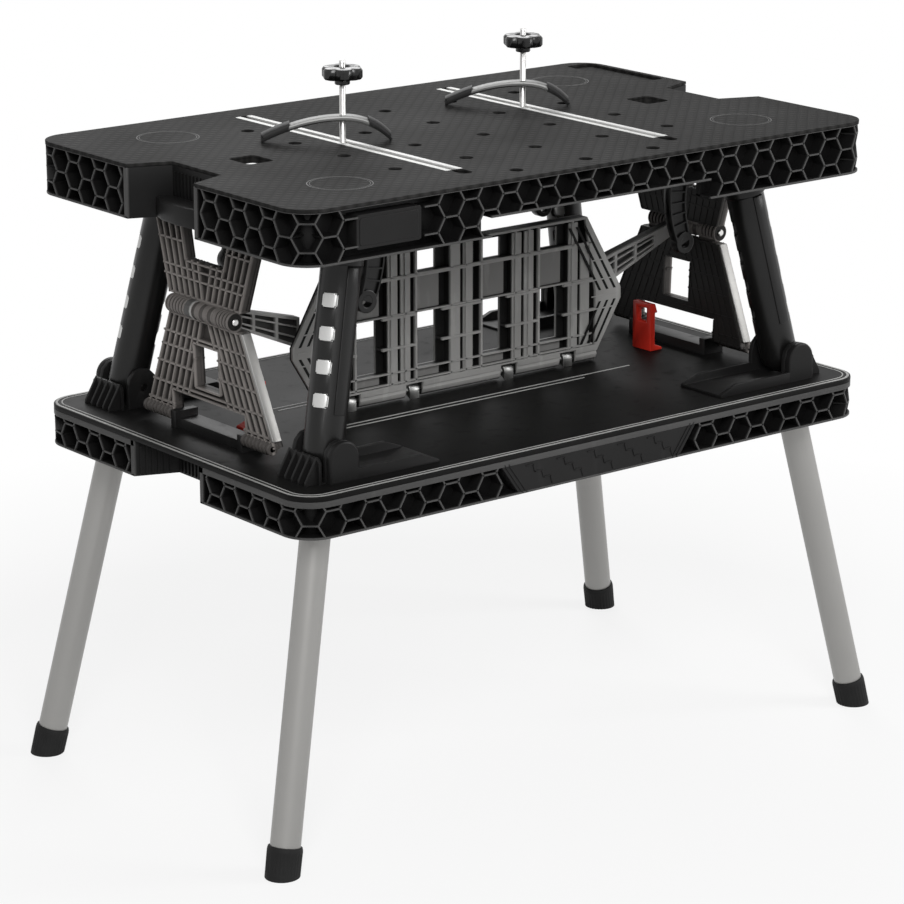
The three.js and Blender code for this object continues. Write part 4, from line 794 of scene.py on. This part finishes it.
for side, x, y, turn in (("left", -RAIL_X, 22, -34), ("right", RAIL_X, 66, -40)):
    spot = Matrix.Translation((x * MM, y * MM, 0))
    thread = [(0, ROD_FOOT), (ROD - 0.05, ROD_FOOT)]
    for groove in range(THREADS):
        height = groove * THREAD_PITCH
        thread += [(ROD, THREAD_START + height), (THREAD_ROOT, THREAD_START + 0.6 + height)]
    thread += [(THREAD_ROOT, ROD_TOP - 0.8), (2.8, ROD_TOP), (0, ROD_TOP)]
    rod = [turned("rod", thread, 16)]
    rod.append(board("foot", [rounded(-7.6, 7.6, -11, 11, 2, 3)], 749.7, 752.7, 0.3))
    rod_mesh = joined("rod", rod)
    rod_mesh.transform(spot)
    piece(side + "_rod", rod_mesh, plated_steel, side + "_carriage", [side + "_clamp_rod"])
    aslant = spot @ Matrix.Rotation(math.radians(turn), 4, "Z")
    steel_bar = bar_part(*STEEL_ENDS, STEEL_WIDE, STEEL_THICK, 2.4)
    steel_bar.transform(aslant)
    piece(side + "_bar_steel", steel_bar, dull_steel, side + "_bar", [side + "_clamp_bar"])
    tips = joined("tips", [bar_part(*ends, TIP_WIDE, TIP_THICK, 3.6) for ends in TIP_ENDS])
    tips.transform(aslant)
    piece(side + "_bar_tips", tips, hard_rubber, side + "_bar")
    knob = turned("knob", KNOB_PROFILE, 72, lobed)
    knob.transform(spot)
    piece(side + "_knob_grip", knob, knob_black, side + "_knob", [side + "_clamp_knob"])


# The deck hangers: four black ribbed blocks fixed under the top, that carry the pins of the leaves.
# Each is moulded in one piece with its ears.
CORNERS = [(row + "_" + side, sx, sy) for side, sx in SIDES for row, sy in (("front", -1), ("back", 1))]
for corner, _, _ in CORNERS:
    eased_piece(corner + "_hanger", "_block", 0.8, moulded_black, "deck")


# The end leaves: two grey panels on each end, hinged at the shelf, at the elbow and under the top.
# Each is a thin plate with a close lattice of ribs on its outer face, and ringed knuckles at the pins.
LEAF, LEAN = 135.08, math.radians(2)
SHELF_PIN_X, SHELF_PIN_Z, ELBOW_X, ELBOW_Z = 365, 453, 369.7, 588
WAIST, LOWER_HEAD, UPPER_FOOT = 70, 123.7, 11.3
LOWER_IN, LOWER_OUT, UPPER_IN, UPPER_OUT = 72, 125, 58, 111
LEAF_BACK, BACK_RIBS, RIB_WIDE, RIB_DEEP = -14, -14.7, 2.2, 10
LOWER_BARRELS, UPPER_BARREL, BARREL_ROOT = ((-62, -32), (24.4, 62)), (-31.6, 9.6), 8.2
KNUCKLE, KNUCKLE_GROOVE, KNUCKLE_PITCH = 7.5, 1.8, 7
LOWER_EDGE = [
    (-LOWER_OUT, 0), (-LOWER_IN, 0), (-LOWER_IN, 28), (LOWER_IN, 28),
    (LOWER_IN, 0), (LOWER_OUT, 0), (WAIST, LOWER_HEAD), (-WAIST, LOWER_HEAD),
]
LOWER_WINDOW = [(-24, 42), (24, 42), (24, 92.7), (-24, 92.7)]
UPPER_EDGE = [
    (-WAIST, UPPER_FOOT), (WAIST, UPPER_FOOT), (UPPER_OUT, LEAF), (UPPER_IN, LEAF),
    (37, 54), (-37, 54), (-UPPER_IN, LEAF), (-UPPER_OUT, LEAF),
]


def inside(y, z, edge):
    """Whether a point lies within a closed outline."""
    odd = False
    for (y0, z0), (y1, z1) in zip(edge, edge[1:] + edge[:1]):
        if (z0 > z) != (z1 > z) and y < y0 + (y1 - y0) * (z - z0) / (z1 - z0):
            odd = not odd
    return odd


def kept_runs(start, end, edge, window):
    """The stretches of a line that lie on the leaf and off its window."""
    runs, first = [], None
    points = [Vector(start).lerp(Vector(end), step / 90) for step in range(91)]
    for point, after in zip(points, points[1:] + [None]):
        on_leaf = inside(*point, edge) and not (window and inside(*point, window))
        if on_leaf and first is None:
            first = point
        if first is not None and (not on_leaf or after is None):
            if (point - first).length > 2:
                runs.append((first, point))
            first = None
    return runs


def facing_end(mesh):
    """Turns a flat board to look along X: its own X goes along Y, and its Y becomes the height."""
    mesh.transform(Matrix(((0, 0, 1, 0), (1, 0, 0, 0), (0, 1, 0, 0), (0, 0, 0, 1))))
    return mesh


def lattice(name, edge, window, lines, thickness, depth):
    """A thin plate with ribs on both faces, the outer one looking along X; the outline is in Y and height."""
    borders = [edge] + ([window] if window else [])
    plate = facing_end(board(name, borders, LEAF_BACK, -depth + 2, 0.3))
    walls = []
    for border, way in zip(borders, (1, -1)):
        for start, end in zip(border, border[1:] + border[:1]):
            along = (Vector(end) - Vector(start)).normalized()
            shift = Vector((-along.y, along.x)) * thickness / 2 * way
            walls.append((Vector(start) + shift, Vector(end) + shift))
    for start, end in lines:
        walls += kept_runs(start, end, edge, window)
    outer = [((-0.2, *start), (-0.2, *end), (-1, 0, 0)) for start, end in walls]
    inner = []
    for start, end in walls:
        trim = (Vector(end) - Vector(start)).normalized() * 1.5
        near, far_end = Vector(start) + trim, Vector(end) - trim
        inner.append(((BACK_RIBS, *near), (BACK_RIBS, *far_end), (1, 0, 0)))
    return [plate, ribs(name, outer, thickness, depth), ribs(name, inner, thickness, 1.2)]


def knuckle(y0, y1, z, radius, groove, pitch):
    """A ringed barrel along Y between two places."""
    profile = [(0, y0), (radius - 0.8, y0), (radius, y0 + 0.8)]
    place = y0 + 3
    while groove and place < y1 - 4:
        profile += [(radius, place), (radius - groove, place + 0.4)]
        profile += [(radius - groove, place + pitch / 2 - 0.4), (radius, place + pitch / 2)]
        place += pitch
    profile += [(radius, y1 - 0.8), (radius - 0.8, y1), (0, y1)]
    made = turned("knuckle", profile, 32)
    made.transform(Matrix.Translation((0, 0, z * MM)) @ Matrix.Rotation(-math.pi / 2, 4, "X"))
    return made


def web(y0, y1, z0, z1, depth):
    """The root of an elbow barrel, between it and the plate."""
    return facing_end(board("web", [[(y0, z0), (y1, z0), (y1, z1), (y0, z1)]], -depth, 0, 0.3))


def to_side(mesh, sx):
    """Mirrors a mesh made for the right, where it is for the left."""
    if sx < 0:
        mesh.transform(Matrix.Scale(-1, 4, (1, 0, 0)))
        mesh.flip_normals()
    return mesh


def on_end(mesh, sx, upper):
    """Moves a leaf made for the right end to its place on either end."""
    to_side(mesh, sx)
    x, z, tilt = SHELF_PIN_X, SHELF_PIN_Z, 1
    if upper:
        x, z, tilt = SHELF_PIN_X + LEAF * math.sin(LEAN), ELBOW_Z, -1
    leant = Matrix.Rotation(sx * tilt * LEAN, 4, "Y")
    mesh.transform(Matrix.Translation((sx * x * MM, 0, z * MM)) @ leant)
    return mesh


lower_lines = [((-LOWER_OUT, z), (LOWER_OUT, z)) for z in (11, 35, 60, 82, 99)]
upper_lines = [((-UPPER_OUT, z), (UPPER_OUT, z)) for z in (33, 44, 74, 98, 118)]
for way in (-1, 1):
    for place in range(1, 7):
        foot, head = way * (LOWER_OUT - 12.5 * place), way * (WAIST - 10.5 * place)
        lower_lines.append(((foot, 0), (head, LOWER_HEAD)))
        foot, head = way * (WAIST - 11 * place), way * (UPPER_OUT - 13.5 * place)
        upper_lines.append(((foot, UPPER_FOOT), (head, LEAF)))


def place_along(start, axis):
    place = start.node("ShaderNodeTexCoord", None, None, "Object")
    return start.node("ShaderNodeSeparateXYZ", None, {"Vector": place}, axis)


def leaf_painted_shade(start):
    """Painted shade on a leaf: one on the rib edges and the rings of its elbow, less on the plate, nought
    behind it and in the grooves between the rings.
    """
    out = start.math("ABSOLUTE", place_along(start, "X"), 0) - ELBOW_X * MM
    up = place_along(start, "Z") - ELBOW_Z * MM
    behind = start.math("ABSOLUTE", up, 0) * -math.tan(LEAN) - out
    steps = [(-1.0, 0.3), (-0.4, 1.0), (1.2, 1.0), (4.0, 0.24), (11.0, 0.24), (13.5, 0.0)]
    stops = [((at + 2) / 20, (tone, tone, tone, 1)) for at, tone in steps]
    flat = start.node("ShaderNodeValToRGB", {"stops": stops}, {"Fac": behind * 50 + 0.1})
    radius = start.math("POWER", out * out + up * up, 0.5)
    on_barrel = start.math("LESS_THAN", radius, 11.8 * MM)
    rings = rise(start, radius, 9.2 * MM, 10.4 * MM)
    return flat * (1 - on_barrel) + on_barrel * rings * 0.7


LEAF_RIB = (0.2, 0.184, 0.174)
# The hollows of a leaf, its inner face and the grooves of its elbow barrels are painted dark as shade.
leaf_grey = moulded("leaf_grey", (0.011, 0.0103, 0.0098), 0.48, 0.12, 0.3, leaf_painted_shade, LEAF_RIB)
for side, sx in SIDES:
    lower = lattice("lower", LOWER_EDGE, LOWER_WINDOW, lower_lines, RIB_WIDE, RIB_DEEP)
    upper = lattice("upper", UPPER_EDGE, None, upper_lines, RIB_WIDE, RIB_DEEP)
    rings = (KNUCKLE, KNUCKLE_GROOVE, KNUCKLE_PITCH)
    for way in (-1, 1):
        lower.append(knuckle(*sorted((way * LOWER_IN, way * LOWER_OUT)), 0, *rings))
        upper.append(knuckle(*sorted((way * UPPER_IN, way * UPPER_OUT)), LEAF, *rings))
    for ends in LOWER_BARRELS:
        lower += [knuckle(*ends, LEAF, 11, 2.6, 6), web(*ends, 121, LEAF, BARREL_ROOT)]
    upper += [knuckle(*UPPER_BARREL, 0, 10.6, 0.9, 16), web(*UPPER_BARREL, 0, 13, BARREL_ROOT)]
    for leaf, parts in (("lower", lower), ("upper", upper)):
        mesh = on_end(joined(leaf, parts), sx, leaf == "upper")
        node = side + "_" + leaf + "_leaf"
        piece(node + "_lattice", mesh, leaf_grey, side + "_" + leaf, [node])


# The leaf strips: a bright drawn strip clipped along the edge of each lower leaf, which stiffens it.
# It is flat stock with rounded edges. The bright ends of the elbow pin show above it.
strip_aluminium = metal("strip_aluminium", (0.28, 0.276, 0.268), 0.50, (1.0, 1.0, 0.03), 0.10)
PIN_END_Y, PIN_END_HALF, PIN_END = 63, 1.2, 4
for side, sx in SIDES:
    eased_piece(side + "_leaf_strip", "_drawn", 0.8, strip_aluminium, side + "_lower")
    places = [way * PIN_END_Y for way in (-1, 1)]
    tips = [knuckle(y - PIN_END_HALF, y + PIN_END_HALF, LEAF, PIN_END, 0, 1) for y in places]
    pin_ends = on_end(joined("pin_ends", tips), sx, False)
    piece(side + "_elbow_pin", pin_ends, plated_steel, side + "_lower")


# The elbow arms: grey channels from the elbow of each end to the centre panel.
# They keep the ends square when the bench is open, and are moulded with shallow bays.
def arm_bay_shade(start):
    """One on the rib edges of an arm and nought in its bays, which are painted darker, as shade."""
    return 1 - rise(start, place_along(start, "Y"), 11.5 * MM, 14.5 * MM)


ARM_RIB = (0.32, 0.316, 0.308)
ARM_FRONT, ARM_SHARE = 10.3, 0.34
ARM_OUTER_X, ARM_OUTER_Z, ARM_OUTER_HALF = 350, 581.2, 8.7
ARM_INNER_X, ARM_INNER_Z, ARM_INNER_HALF = 232, 540.4, 18.7
# The bays of an arm are painted darker than its rib edges, as shade.
arm_grey = moulded("arm_grey", (0.07, 0.0692, 0.0676), 0.45, 0.12, 0.3, arm_bay_shade, ARM_RIB)
for side, sx in SIDES:
    arm = side + "_elbow_arm"
    long_ribs = []
    for share in (-ARM_SHARE, ARM_SHARE):
        outer = (sx * ARM_OUTER_X, ARM_FRONT, ARM_OUTER_Z + share * ARM_OUTER_HALF)
        inner = (sx * ARM_INNER_X, ARM_FRONT, ARM_INNER_Z + share * ARM_INNER_HALF)
        long_ribs.append((outer, inner, (0, 1, 0)))
    arm_mesh = joined("arm", [eased(arm, 0.7), ribs("arm", long_ribs, 2, 10)])
    piece(arm + "_moulding", arm_mesh, arm_grey, side + "_arm", [arm], None)


# The shelf hinges: a black base on each end of the shelf, with ears for the pins of the lower leaf.
# It is moulded in one piece and fixed to the skin of the shelf.
for side, _ in SIDES:
    eased_piece(side + "_shelf_hinge", "_base", 0.8, moulded_black, "shelf")


# The latches: a red lever at each end, which holds the shut bench and is pulled with a finger.
# It is a glossy moulding with a finger slot.
latch_red = moulded("latch_red", (0.46, 0.022, 0.012), 0.36, 0.08, 0.15)
for side, _ in SIDES:
    latch = side + "_latch"
    eased_piece(latch, "_lever", 1.4, latch_red, latch)


# The centre panel: a deep ribbed grey board across the middle of the bench, which folds flat on the shelf.
# It turns on a steel rod through lugs along its foot, and pairs of box bars stand between its windows.
def panel_pocket_shade(start):
    """One on the two faces of the panel and nought in its pockets, which are painted near black, as shade."""
    return rise(start, start.math("ABSOLUTE", place_along(start, "Y"), 0), 4.5 * MM, 7 * MM)


panel_tone = (0.27, 0.267, 0.26)
# The pockets of the panel and the sides of its bars are painted near black as shade; its faces take the pale
# panel tone.
panel_shade = moulded("panel_shade", (0.010, 0.0099, 0.0097), 0.5, 0.12, 0.3, panel_pocket_shade, panel_tone)
eased_piece("centre_panel", "_moulding", 0.7, panel_shade, "panel")
BAR_FACE, CROSS_FACE, WING_FACE, SHADE_STRIP_FACE, LINTEL_FACE = -7.2, -9, -9.4, -9.15, -3
BAR_SPREAD, BAR_HALF, BAR_FOOT, BAR_TOP, SHORT_BAR_TOP = 9.6, 7.4, 455, 618, 590
CROSS_HALF, WING_ROOT, WING_TIP, WING_SLANT, SHADE_STRIP_WIDE = 206, 205, (245, 524), 0.58, 4
bars = []
for middle in (-185, -95, 0, 95, 185):
    for way in (-1, 1):
        x = middle + way * BAR_SPREAD
        top = BAR_TOP if abs(x) < 186 else SHORT_BAR_TOP
        bar = board("bar", [rounded(x - BAR_HALF, x + BAR_HALF, BAR_FOOT, top, 1, 2)], -9, 0, 0.5)
        bars.append(upright(bar, BAR_FACE))
cross = []
for z in (461, 474, 544, 590):
    cross.append(((-CROSS_HALF, CROSS_FACE, z), (CROSS_HALF, CROSS_FACE, z), (0, 1, 0)))
bars.append(ribs("cross", cross, 1.8, 9))
wing, shade_strips = [], []
for way in (-1, 1):
    for z in (504, 520, 541, 566):
        tip = WING_TIP[0] - max(0, z - WING_TIP[1]) * WING_SLANT
        wing.append(((way * WING_ROOT, WING_FACE, z), (way * tip, WING_FACE, z), (0, 1, 0)))
    for inset in (7, 19, 31):
        for (x0, z0), (x1, z1) in (((197, 612), (247, 527)), ((247, 513), (217, 462))):
            ends = [(x0, z0), (x0 + SHADE_STRIP_WIDE, z0), (x1 + SHADE_STRIP_WIDE, z1), (x1, z1)]
            shade_strips.append([(way * (x - inset), z) for x, z in ends])
bars.append(ribs("wing", wing, 1.6, 1))
# Thin near-black strips laid on each wing stand for deep slanted slots: painted shade, not cut into the wing.
shade_strips = [upright(board("slot", [slot], -1, 0, 0.05), SHADE_STRIP_FACE) for slot in shade_strips]
piece("centre_panel_shade_strips", joined("shade_strips", shade_strips), rim_black, "panel")
piece("centre_panel_bars", joined("bars", bars), panel_shade, "panel")
LINTEL_HALF = 18
lintels = []
for x in (-140, -50, 50, 140):
    for low, high in ((456, 473), (545, 589)):
        lintel = board("lintel", [rounded(x - LINTEL_HALF, x + LINTEL_HALF, low, high, 1, 2)], -6, 0, 0.4)
        lintels.append(upright(lintel, LINTEL_FACE))
# The lintels are the panel's grey painted darker than the bars, as the shade of their recess.
panel_recess_shade = moulded("panel_recess_shade", (0.165, 0.163, 0.159), 0.45)
piece("centre_panel_lintels", joined("lintels", lintels), panel_recess_shade, "panel")
brushed_steel = metal("brushed_steel", (0.27, 0.27, 0.264), 0.38, (0.2, 0.2, 1.0), 0.08)
rod = eased("panel_hinge_rod", 0.5)
piece("panel_rod", rod, brushed_steel, "shelf", ["panel_hinge_rod"], None)


# The leg brackets: a black cradle at each corner of the shelf, with two round cheeks for the sleeve.
# A ramp behind them takes the sleeve as it folds, a fan of ribs stiffens the outer end, and two lugs
# below the skin carry the leg.
SLEEVE_PIN_X, SLEEVE_PIN_Z, BOSS, BOSS_Y = 346.8, 464, 20, 231.2
GUSSETS, GUSSET_START, GUSSET_GAP, WALL_X = 5, 171, 12.5, 374
for corner, sx, sy in CORNERS:
    eased_piece(corner + "_bracket", "_cradle", 1.0, moulded_black, "shelf")
    gusset = [(sx * 375, SHELF), (sx * 391, SHELF), (sx * 391, 441), (sx * 375, 468)]
    fan = []
    for step in range(GUSSETS):
        rib = board("gusset", [gusset], -1.7, 1.7, 0.4)
        fan.append(upright(rib, sy * (GUSSET_START + step * GUSSET_GAP)))
    edge = [(166, SHELF), (227, SHELF), (227, 462), (222, 467), (171, 467), (166, 462)]
    wall = facing_end(board("wall", [[(sy * y, z) for y, z in edge]], -2, 2, 0.5))
    wall.transform(Matrix.Translation((sx * WALL_X * MM, 0, 0)))
    x = sx * SLEEVE_PIN_X
    cheek = [*corner_arc(x, SLEEVE_PIN_Z, BOSS, 0, 12), *corner_arc(x, SLEEVE_PIN_Z, BOSS, 90, 12)]
    cheek += [(x - BOSS, SHELF), (x + BOSS, SHELF)]
    boss = upright(board("boss", [cheek], -4.5, 4.5, 2.2), sy * BOSS_Y)
    piece(corner + "_fan", joined("fan", fan + [wall, boss]), moulded_black, "shelf")


# The sleeves: a black moulded tube above each corner of the shelf, thicker at the collar under the top.
# Four windows down its outer and its inner side show the bright tube inside, which is swaged out flush with
# the outer ones, and a flat ridge runs down the side that faces out along the width.
LEG_TOP, LEG_X, LEG_Y, SPLAY_X, SPLAY_Y = 692, 298, 171, 148, 74


def turn_to(direction):
    return Vector((0, 0, 1)).rotation_difference(direction).to_matrix().to_4x4()


def leg_frame(sx, sy, z):
    """The place of a leg at a height, with its own Z up the leg, and that direction."""
    down = (LEG_TOP - z) / LEG_TOP
    place = Vector((sx * (LEG_X + SPLAY_X * down), sy * (LEG_Y + SPLAY_Y * down), z)) * MM
    up = Vector((-sx * SPLAY_X, -sy * SPLAY_Y, LEG_TOP)).normalized()
    return Matrix.Translation(place) @ turn_to(up), up


def shell(name, profile, steps, keeps, thickness, bevel):
    """Part of a turned skin, thickened inwards, with eased edges."""
    mesh = turned(name, profile, steps)
    whole = bmesh.new()
    whole.from_mesh(mesh)
    gone = []
    for face in whole.faces:
        middle = face.calc_center_median() / MM
        if not keeps(math.degrees(math.atan2(middle.y, middle.x)), middle.z):
            gone.append(face)
    bmesh.ops.delete(whole, geom=gone, context="FACES")
    whole.to_mesh(mesh)
    whole.free()
    holder = put(name, mesh)
    walls = holder.modifiers.new("walls", "SOLIDIFY")
    walls.thickness = thickness * MM
    walls.offset = -1
    bevelled(holder, bevel, 45)
    return plain_mesh(holder, name)


def pin(name, direction, half, radius):
    """A round pin about the origin, with its ends chamfered."""
    profile = [(0, -half), (radius - 0.6, -half), (radius, 0.6 - half)]
    profile += [(radius, half - 0.6), (radius - 0.6, half), (0, half)]
    made = turned(name, profile, 20)
    made.transform(turn_to(direction))
    return made


WINDOWS, WINDOW_START, WINDOW_GAP, WINDOW_TALL, WINDOW_WIDE, PAD_WIDE = 4, 48, 37, 17, 25.5, 23.5


def off_by(angle, facing_way):
    return abs((angle - facing_way + 180) % 360 - 180)


def in_window(angle, z, facing_way, wide, margin):
    """Whether a place on the sleeve lies in one of the windows on a side, whose corners are cut."""
    up_window = (z - WINDOW_START) % WINDOW_GAP
    if not WINDOW_START <= z <= WINDOW_START + WINDOWS * WINDOW_GAP:
        return False
    if not margin <= up_window <= WINDOW_TALL - margin:
        return False
    near_end = min(up_window, WINDOW_TALL - up_window) - margin
    return off_by(angle, facing_way) < (wide if near_end > 1.6 else wide - 5)


sleeve_black = moulded("sleeve_black", (0.0045, 0.0044, 0.0043), 0.33, gloss=0.27)
bright_tube = metal("bright_tube", (0.58, 0.58, 0.57), 0.42, (12.0, 0.4, 1.0), 0.06, 0.6, "UV")
sleeve_levels = []
for window in range(WINDOWS):
    start = WINDOW_START + WINDOW_GAP * window
    sleeve_levels += [start + up for up in (0, 0.6, 2.2, 14.8, 16.4, WINDOW_TALL)]
SLEEVE_RADIUS, COLLAR, SLEEVE_STEPS, RIDGE, PAD = 23, 25, 80, 24.6, 22.9
LINER_PROFILE = ((15.7, 0.3), (18.2, 0.3), (18.2, 279), (15.7, 279), (15.7, 0.3))
sleeve_skin = corner_arc(0, 0, SLEEVE_RADIUS, -90, 6) + [(SLEEVE_RADIUS, level) for level in sleeve_levels]
sleeve_skin += [(SLEEVE_RADIUS, 205.2), (23.6, 206.4), (COLLAR, 207.4), (COLLAR, 262)]
sleeve_skin += [(24.2, 263), (24.2, 266), (COLLAR, 267), (COLLAR, 279.2)]
window_turn, sleeve_toe = math.radians(28), math.radians(3.2)
for corner, sx, sy in CORNERS:
    spot, up = leg_frame(sx, sy, SLEEVE_PIN_Z)
    window_way = math.degrees(math.atan2(sy * math.sin(window_turn), sx * math.cos(window_turn)))
    ridge_way = sy * 90

    def solid(angle, z):
        return not any(in_window(angle, z, window_way + turn, WINDOW_WIDE, 0) for turn in (0, 180))

    def on_ridge(angle, z):
        return off_by(angle, ridge_way) < 20

    def on_pad(angle, z):
        return in_window(angle, z, window_way, PAD_WIDE, 0.5)

    tube = shell("sleeve", sleeve_skin, SLEEVE_STEPS, solid, 4.3, 0.5)
    ridge_skin = [(RIDGE, 42 + step * 20.4) for step in range(9)]
    ridge = shell("ridge", ridge_skin, SLEEVE_STEPS, on_ridge, 3.0, 1.0)
    outward = Vector((-sx * math.cos(sleeve_toe), sy * math.sin(sleeve_toe), 0))
    stub = pin("stub", spot.to_3x3().inverted() @ up.cross(outward).normalized(), 30.8, 4.5)
    sleeve = joined("sleeve", [tube, ridge, stub])
    sleeve.transform(spot)
    name = corner + "_sleeve"
    piece(name + "_tube", sleeve, sleeve_black, name, [name], 40)
    pads = [(PAD, level) for level in sleeve_levels]
    swage = shell("pads", pads, SLEEVE_STEPS, on_pad, 5.0, 0.4)
    inner = turned("liner", LINER_PROFILE, 48)
    liner = joined("liner", [swage, inner])
    liner.transform(spot)
    piece(corner + "_liner_tube", liner, bright_tube, name, [corner + "_liner"], 40)


# The legs: a round aluminium tube hinged in the lugs under each corner, folding along the shelf.
# The head is domed, and a fluted rubber foot is pushed on at the floor and cut level.
leg_aluminium = metal("leg_aluminium", (0.33, 0.325, 0.314), 0.36, (90.0, 0.25, 1.0), 0.10, 0.55, "UV")
foot_rubber = moulded("foot_rubber", (0.012, 0.012, 0.012), 0.62, 0.3)


FLUTES, FLUTE_DEEP, FLUTE_LOW, FLUTE_HIGH = 28, 0.9, -417, -393


def flutes(radius, height, share):
    """The radius of the foot, less the dip of a flute where the foot is fluted."""
    dip = FLUTE_DEEP * (1 + math.cos(FLUTES * 2 * math.pi * share)) / 2
    return radius - dip if FLUTE_LOW < height < FLUTE_HIGH else radius


LEG_PIN_Z, LEG_RADIUS, LEG_LENGTH = 409, 17.5, 411
leg_profile = [(0, -LEG_LENGTH)]
leg_profile += [(LEG_RADIUS, LEG_LENGTH * (step - 10) / 10) for step in range(10)]
leg_profile += corner_arc(0, 0, LEG_RADIUS, 0, 9)
FOOT_PROFILE = (
    (0, -440), (19.6, -440), (20.1, -418), (20.1, -416), (20.4, -394), (20.4, -392), (20.1, -389),
    (19.4, -386.7), (17.8, -386.5), (17.8, -LEG_LENGTH), (0, -LEG_LENGTH),
)
for corner, sx, sy in CORNERS:
    spot, up = leg_frame(sx, sy, LEG_PIN_Z)
    toe = math.radians(9.2 if sx == sy else 0)
    inward = Vector((-sx * math.cos(toe), -sy * math.sin(toe), 0))
    stub = pin("stub", spot.to_3x3().inverted() @ up.cross(inward).normalized(), 24.8, 4)
    leg = joined("leg", [turned("leg", leg_profile, 48), stub])
    leg.transform(spot)
    name = corner + "_leg"
    piece(name + "_tube", leg, leg_aluminium, name, [name], 40)
    foot = turned("foot", FOOT_PROFILE, 112, flutes)
    foot.transform(spot)
    whole = bmesh.new()
    whole.from_mesh(foot)
    every = whole.verts[:] + whole.edges[:] + whole.faces[:]
    level = {"plane_co": (0, 0, 0), "plane_no": (0, 0, 1)}
    cut = bmesh.ops.bisect_plane(whole, geom=every, clear_inner=True, **level)
    rim_edges = [item for item in cut["geom_cut"] if isinstance(item, bmesh.types.BMEdge)]
    bmesh.ops.holes_fill(whole, edges=rim_edges)
    bmesh.ops.recalc_face_normals(whole, faces=whole.faces)
    whole.to_mesh(foot)
    whole.free()
    piece(corner + "_foot_cap", foot, foot_rubber, name, [corner + "_foot"], 30)


# The hooks: a black crescent hangs from each hanger on its own pin, and ends in a ring for a cord.
# A thin web lies inside a rim, with short ribs across it.
HOOK_TOP, HOOK_RING, HOOK_BEND, HOOK_Y = (254, 734), (241, 607), 214, 132.5
HOOK_HALF, HOOK_WEB, HOOK_SWELL, HOOK_STEPS = 11, 8.6, 9, 24


def crescent(half, ends):
    """Both edges of the crescent, to a half width, between two shares of its length."""
    (x0, z0), (x1, z1) = HOOK_TOP, HOOK_RING
    edges = ([], [])
    for step in range(HOOK_STEPS + 1):
        share = ends + (1 - 2 * ends) * step / HOOK_STEPS
        x = (1 - share) ** 2 * x0 + 2 * share * (1 - share) * HOOK_BEND + share * share * x1
        z = z0 + (z1 - z0) * share
        slope = 2 * (1 - share) * (HOOK_BEND - x0) + 2 * share * (x1 - HOOK_BEND)
        across = Vector((z0 - z1, slope)).normalized()
        edges[0].append((x + half * across.x, z + half * across.y))
        inner = half + HOOK_SWELL * (1 - share)
        edges[1].append((x - inner * across.x, z - inner * across.y))
    return edges


for corner, sx, sy in CORNERS:
    outer, inner = crescent(HOOK_HALF, 0.0), crescent(HOOK_WEB, 0.08)
    whole_edge = outer[0] + outer[1][::-1]
    parts = [board("web", [whole_edge], -3, 3, 0.3)]
    parts.append(board("edge", [whole_edge, inner[0] + inner[1][::-1]], -6, 6, 0.5))
    eye = [ring(*HOOK_RING, 13.5, 40), ring(*HOOK_RING, 6.6, 32)]
    head = [ring(*HOOK_TOP, 10, 36), ring(*HOOK_TOP, 4.3, 24)]
    parts += [board(name, rings, -6.4, 6.4, 1.0) for name, rings in (("ring", eye), ("head", head))]
    cross = []
    for step in range(3, 22, 3):
        (x0, z0), (x1, z1) = inner[0][step], inner[1][step]
        cross.append(((x0, z0, 6), (x1, z1, 6), (0, 0, -1)))
    parts.append(ribs("cross", cross, 1.8, 12))
    body = upright(to_side(joined("hook", parts), sx), sy * HOOK_Y)
    shaft = pin("hook_pin", Vector((0, 1, 0)), 12, 4)
    shaft.transform(Matrix.Translation(Vector((sx * HOOK_TOP[0], sy * HOOK_Y, HOOK_TOP[1])) * MM))
    hook = corner + "_hook"
    made = joined("hook", [body, shaft])
    piece(hook + "_crescent", made, sleeve_black, hook, [hook], 40)
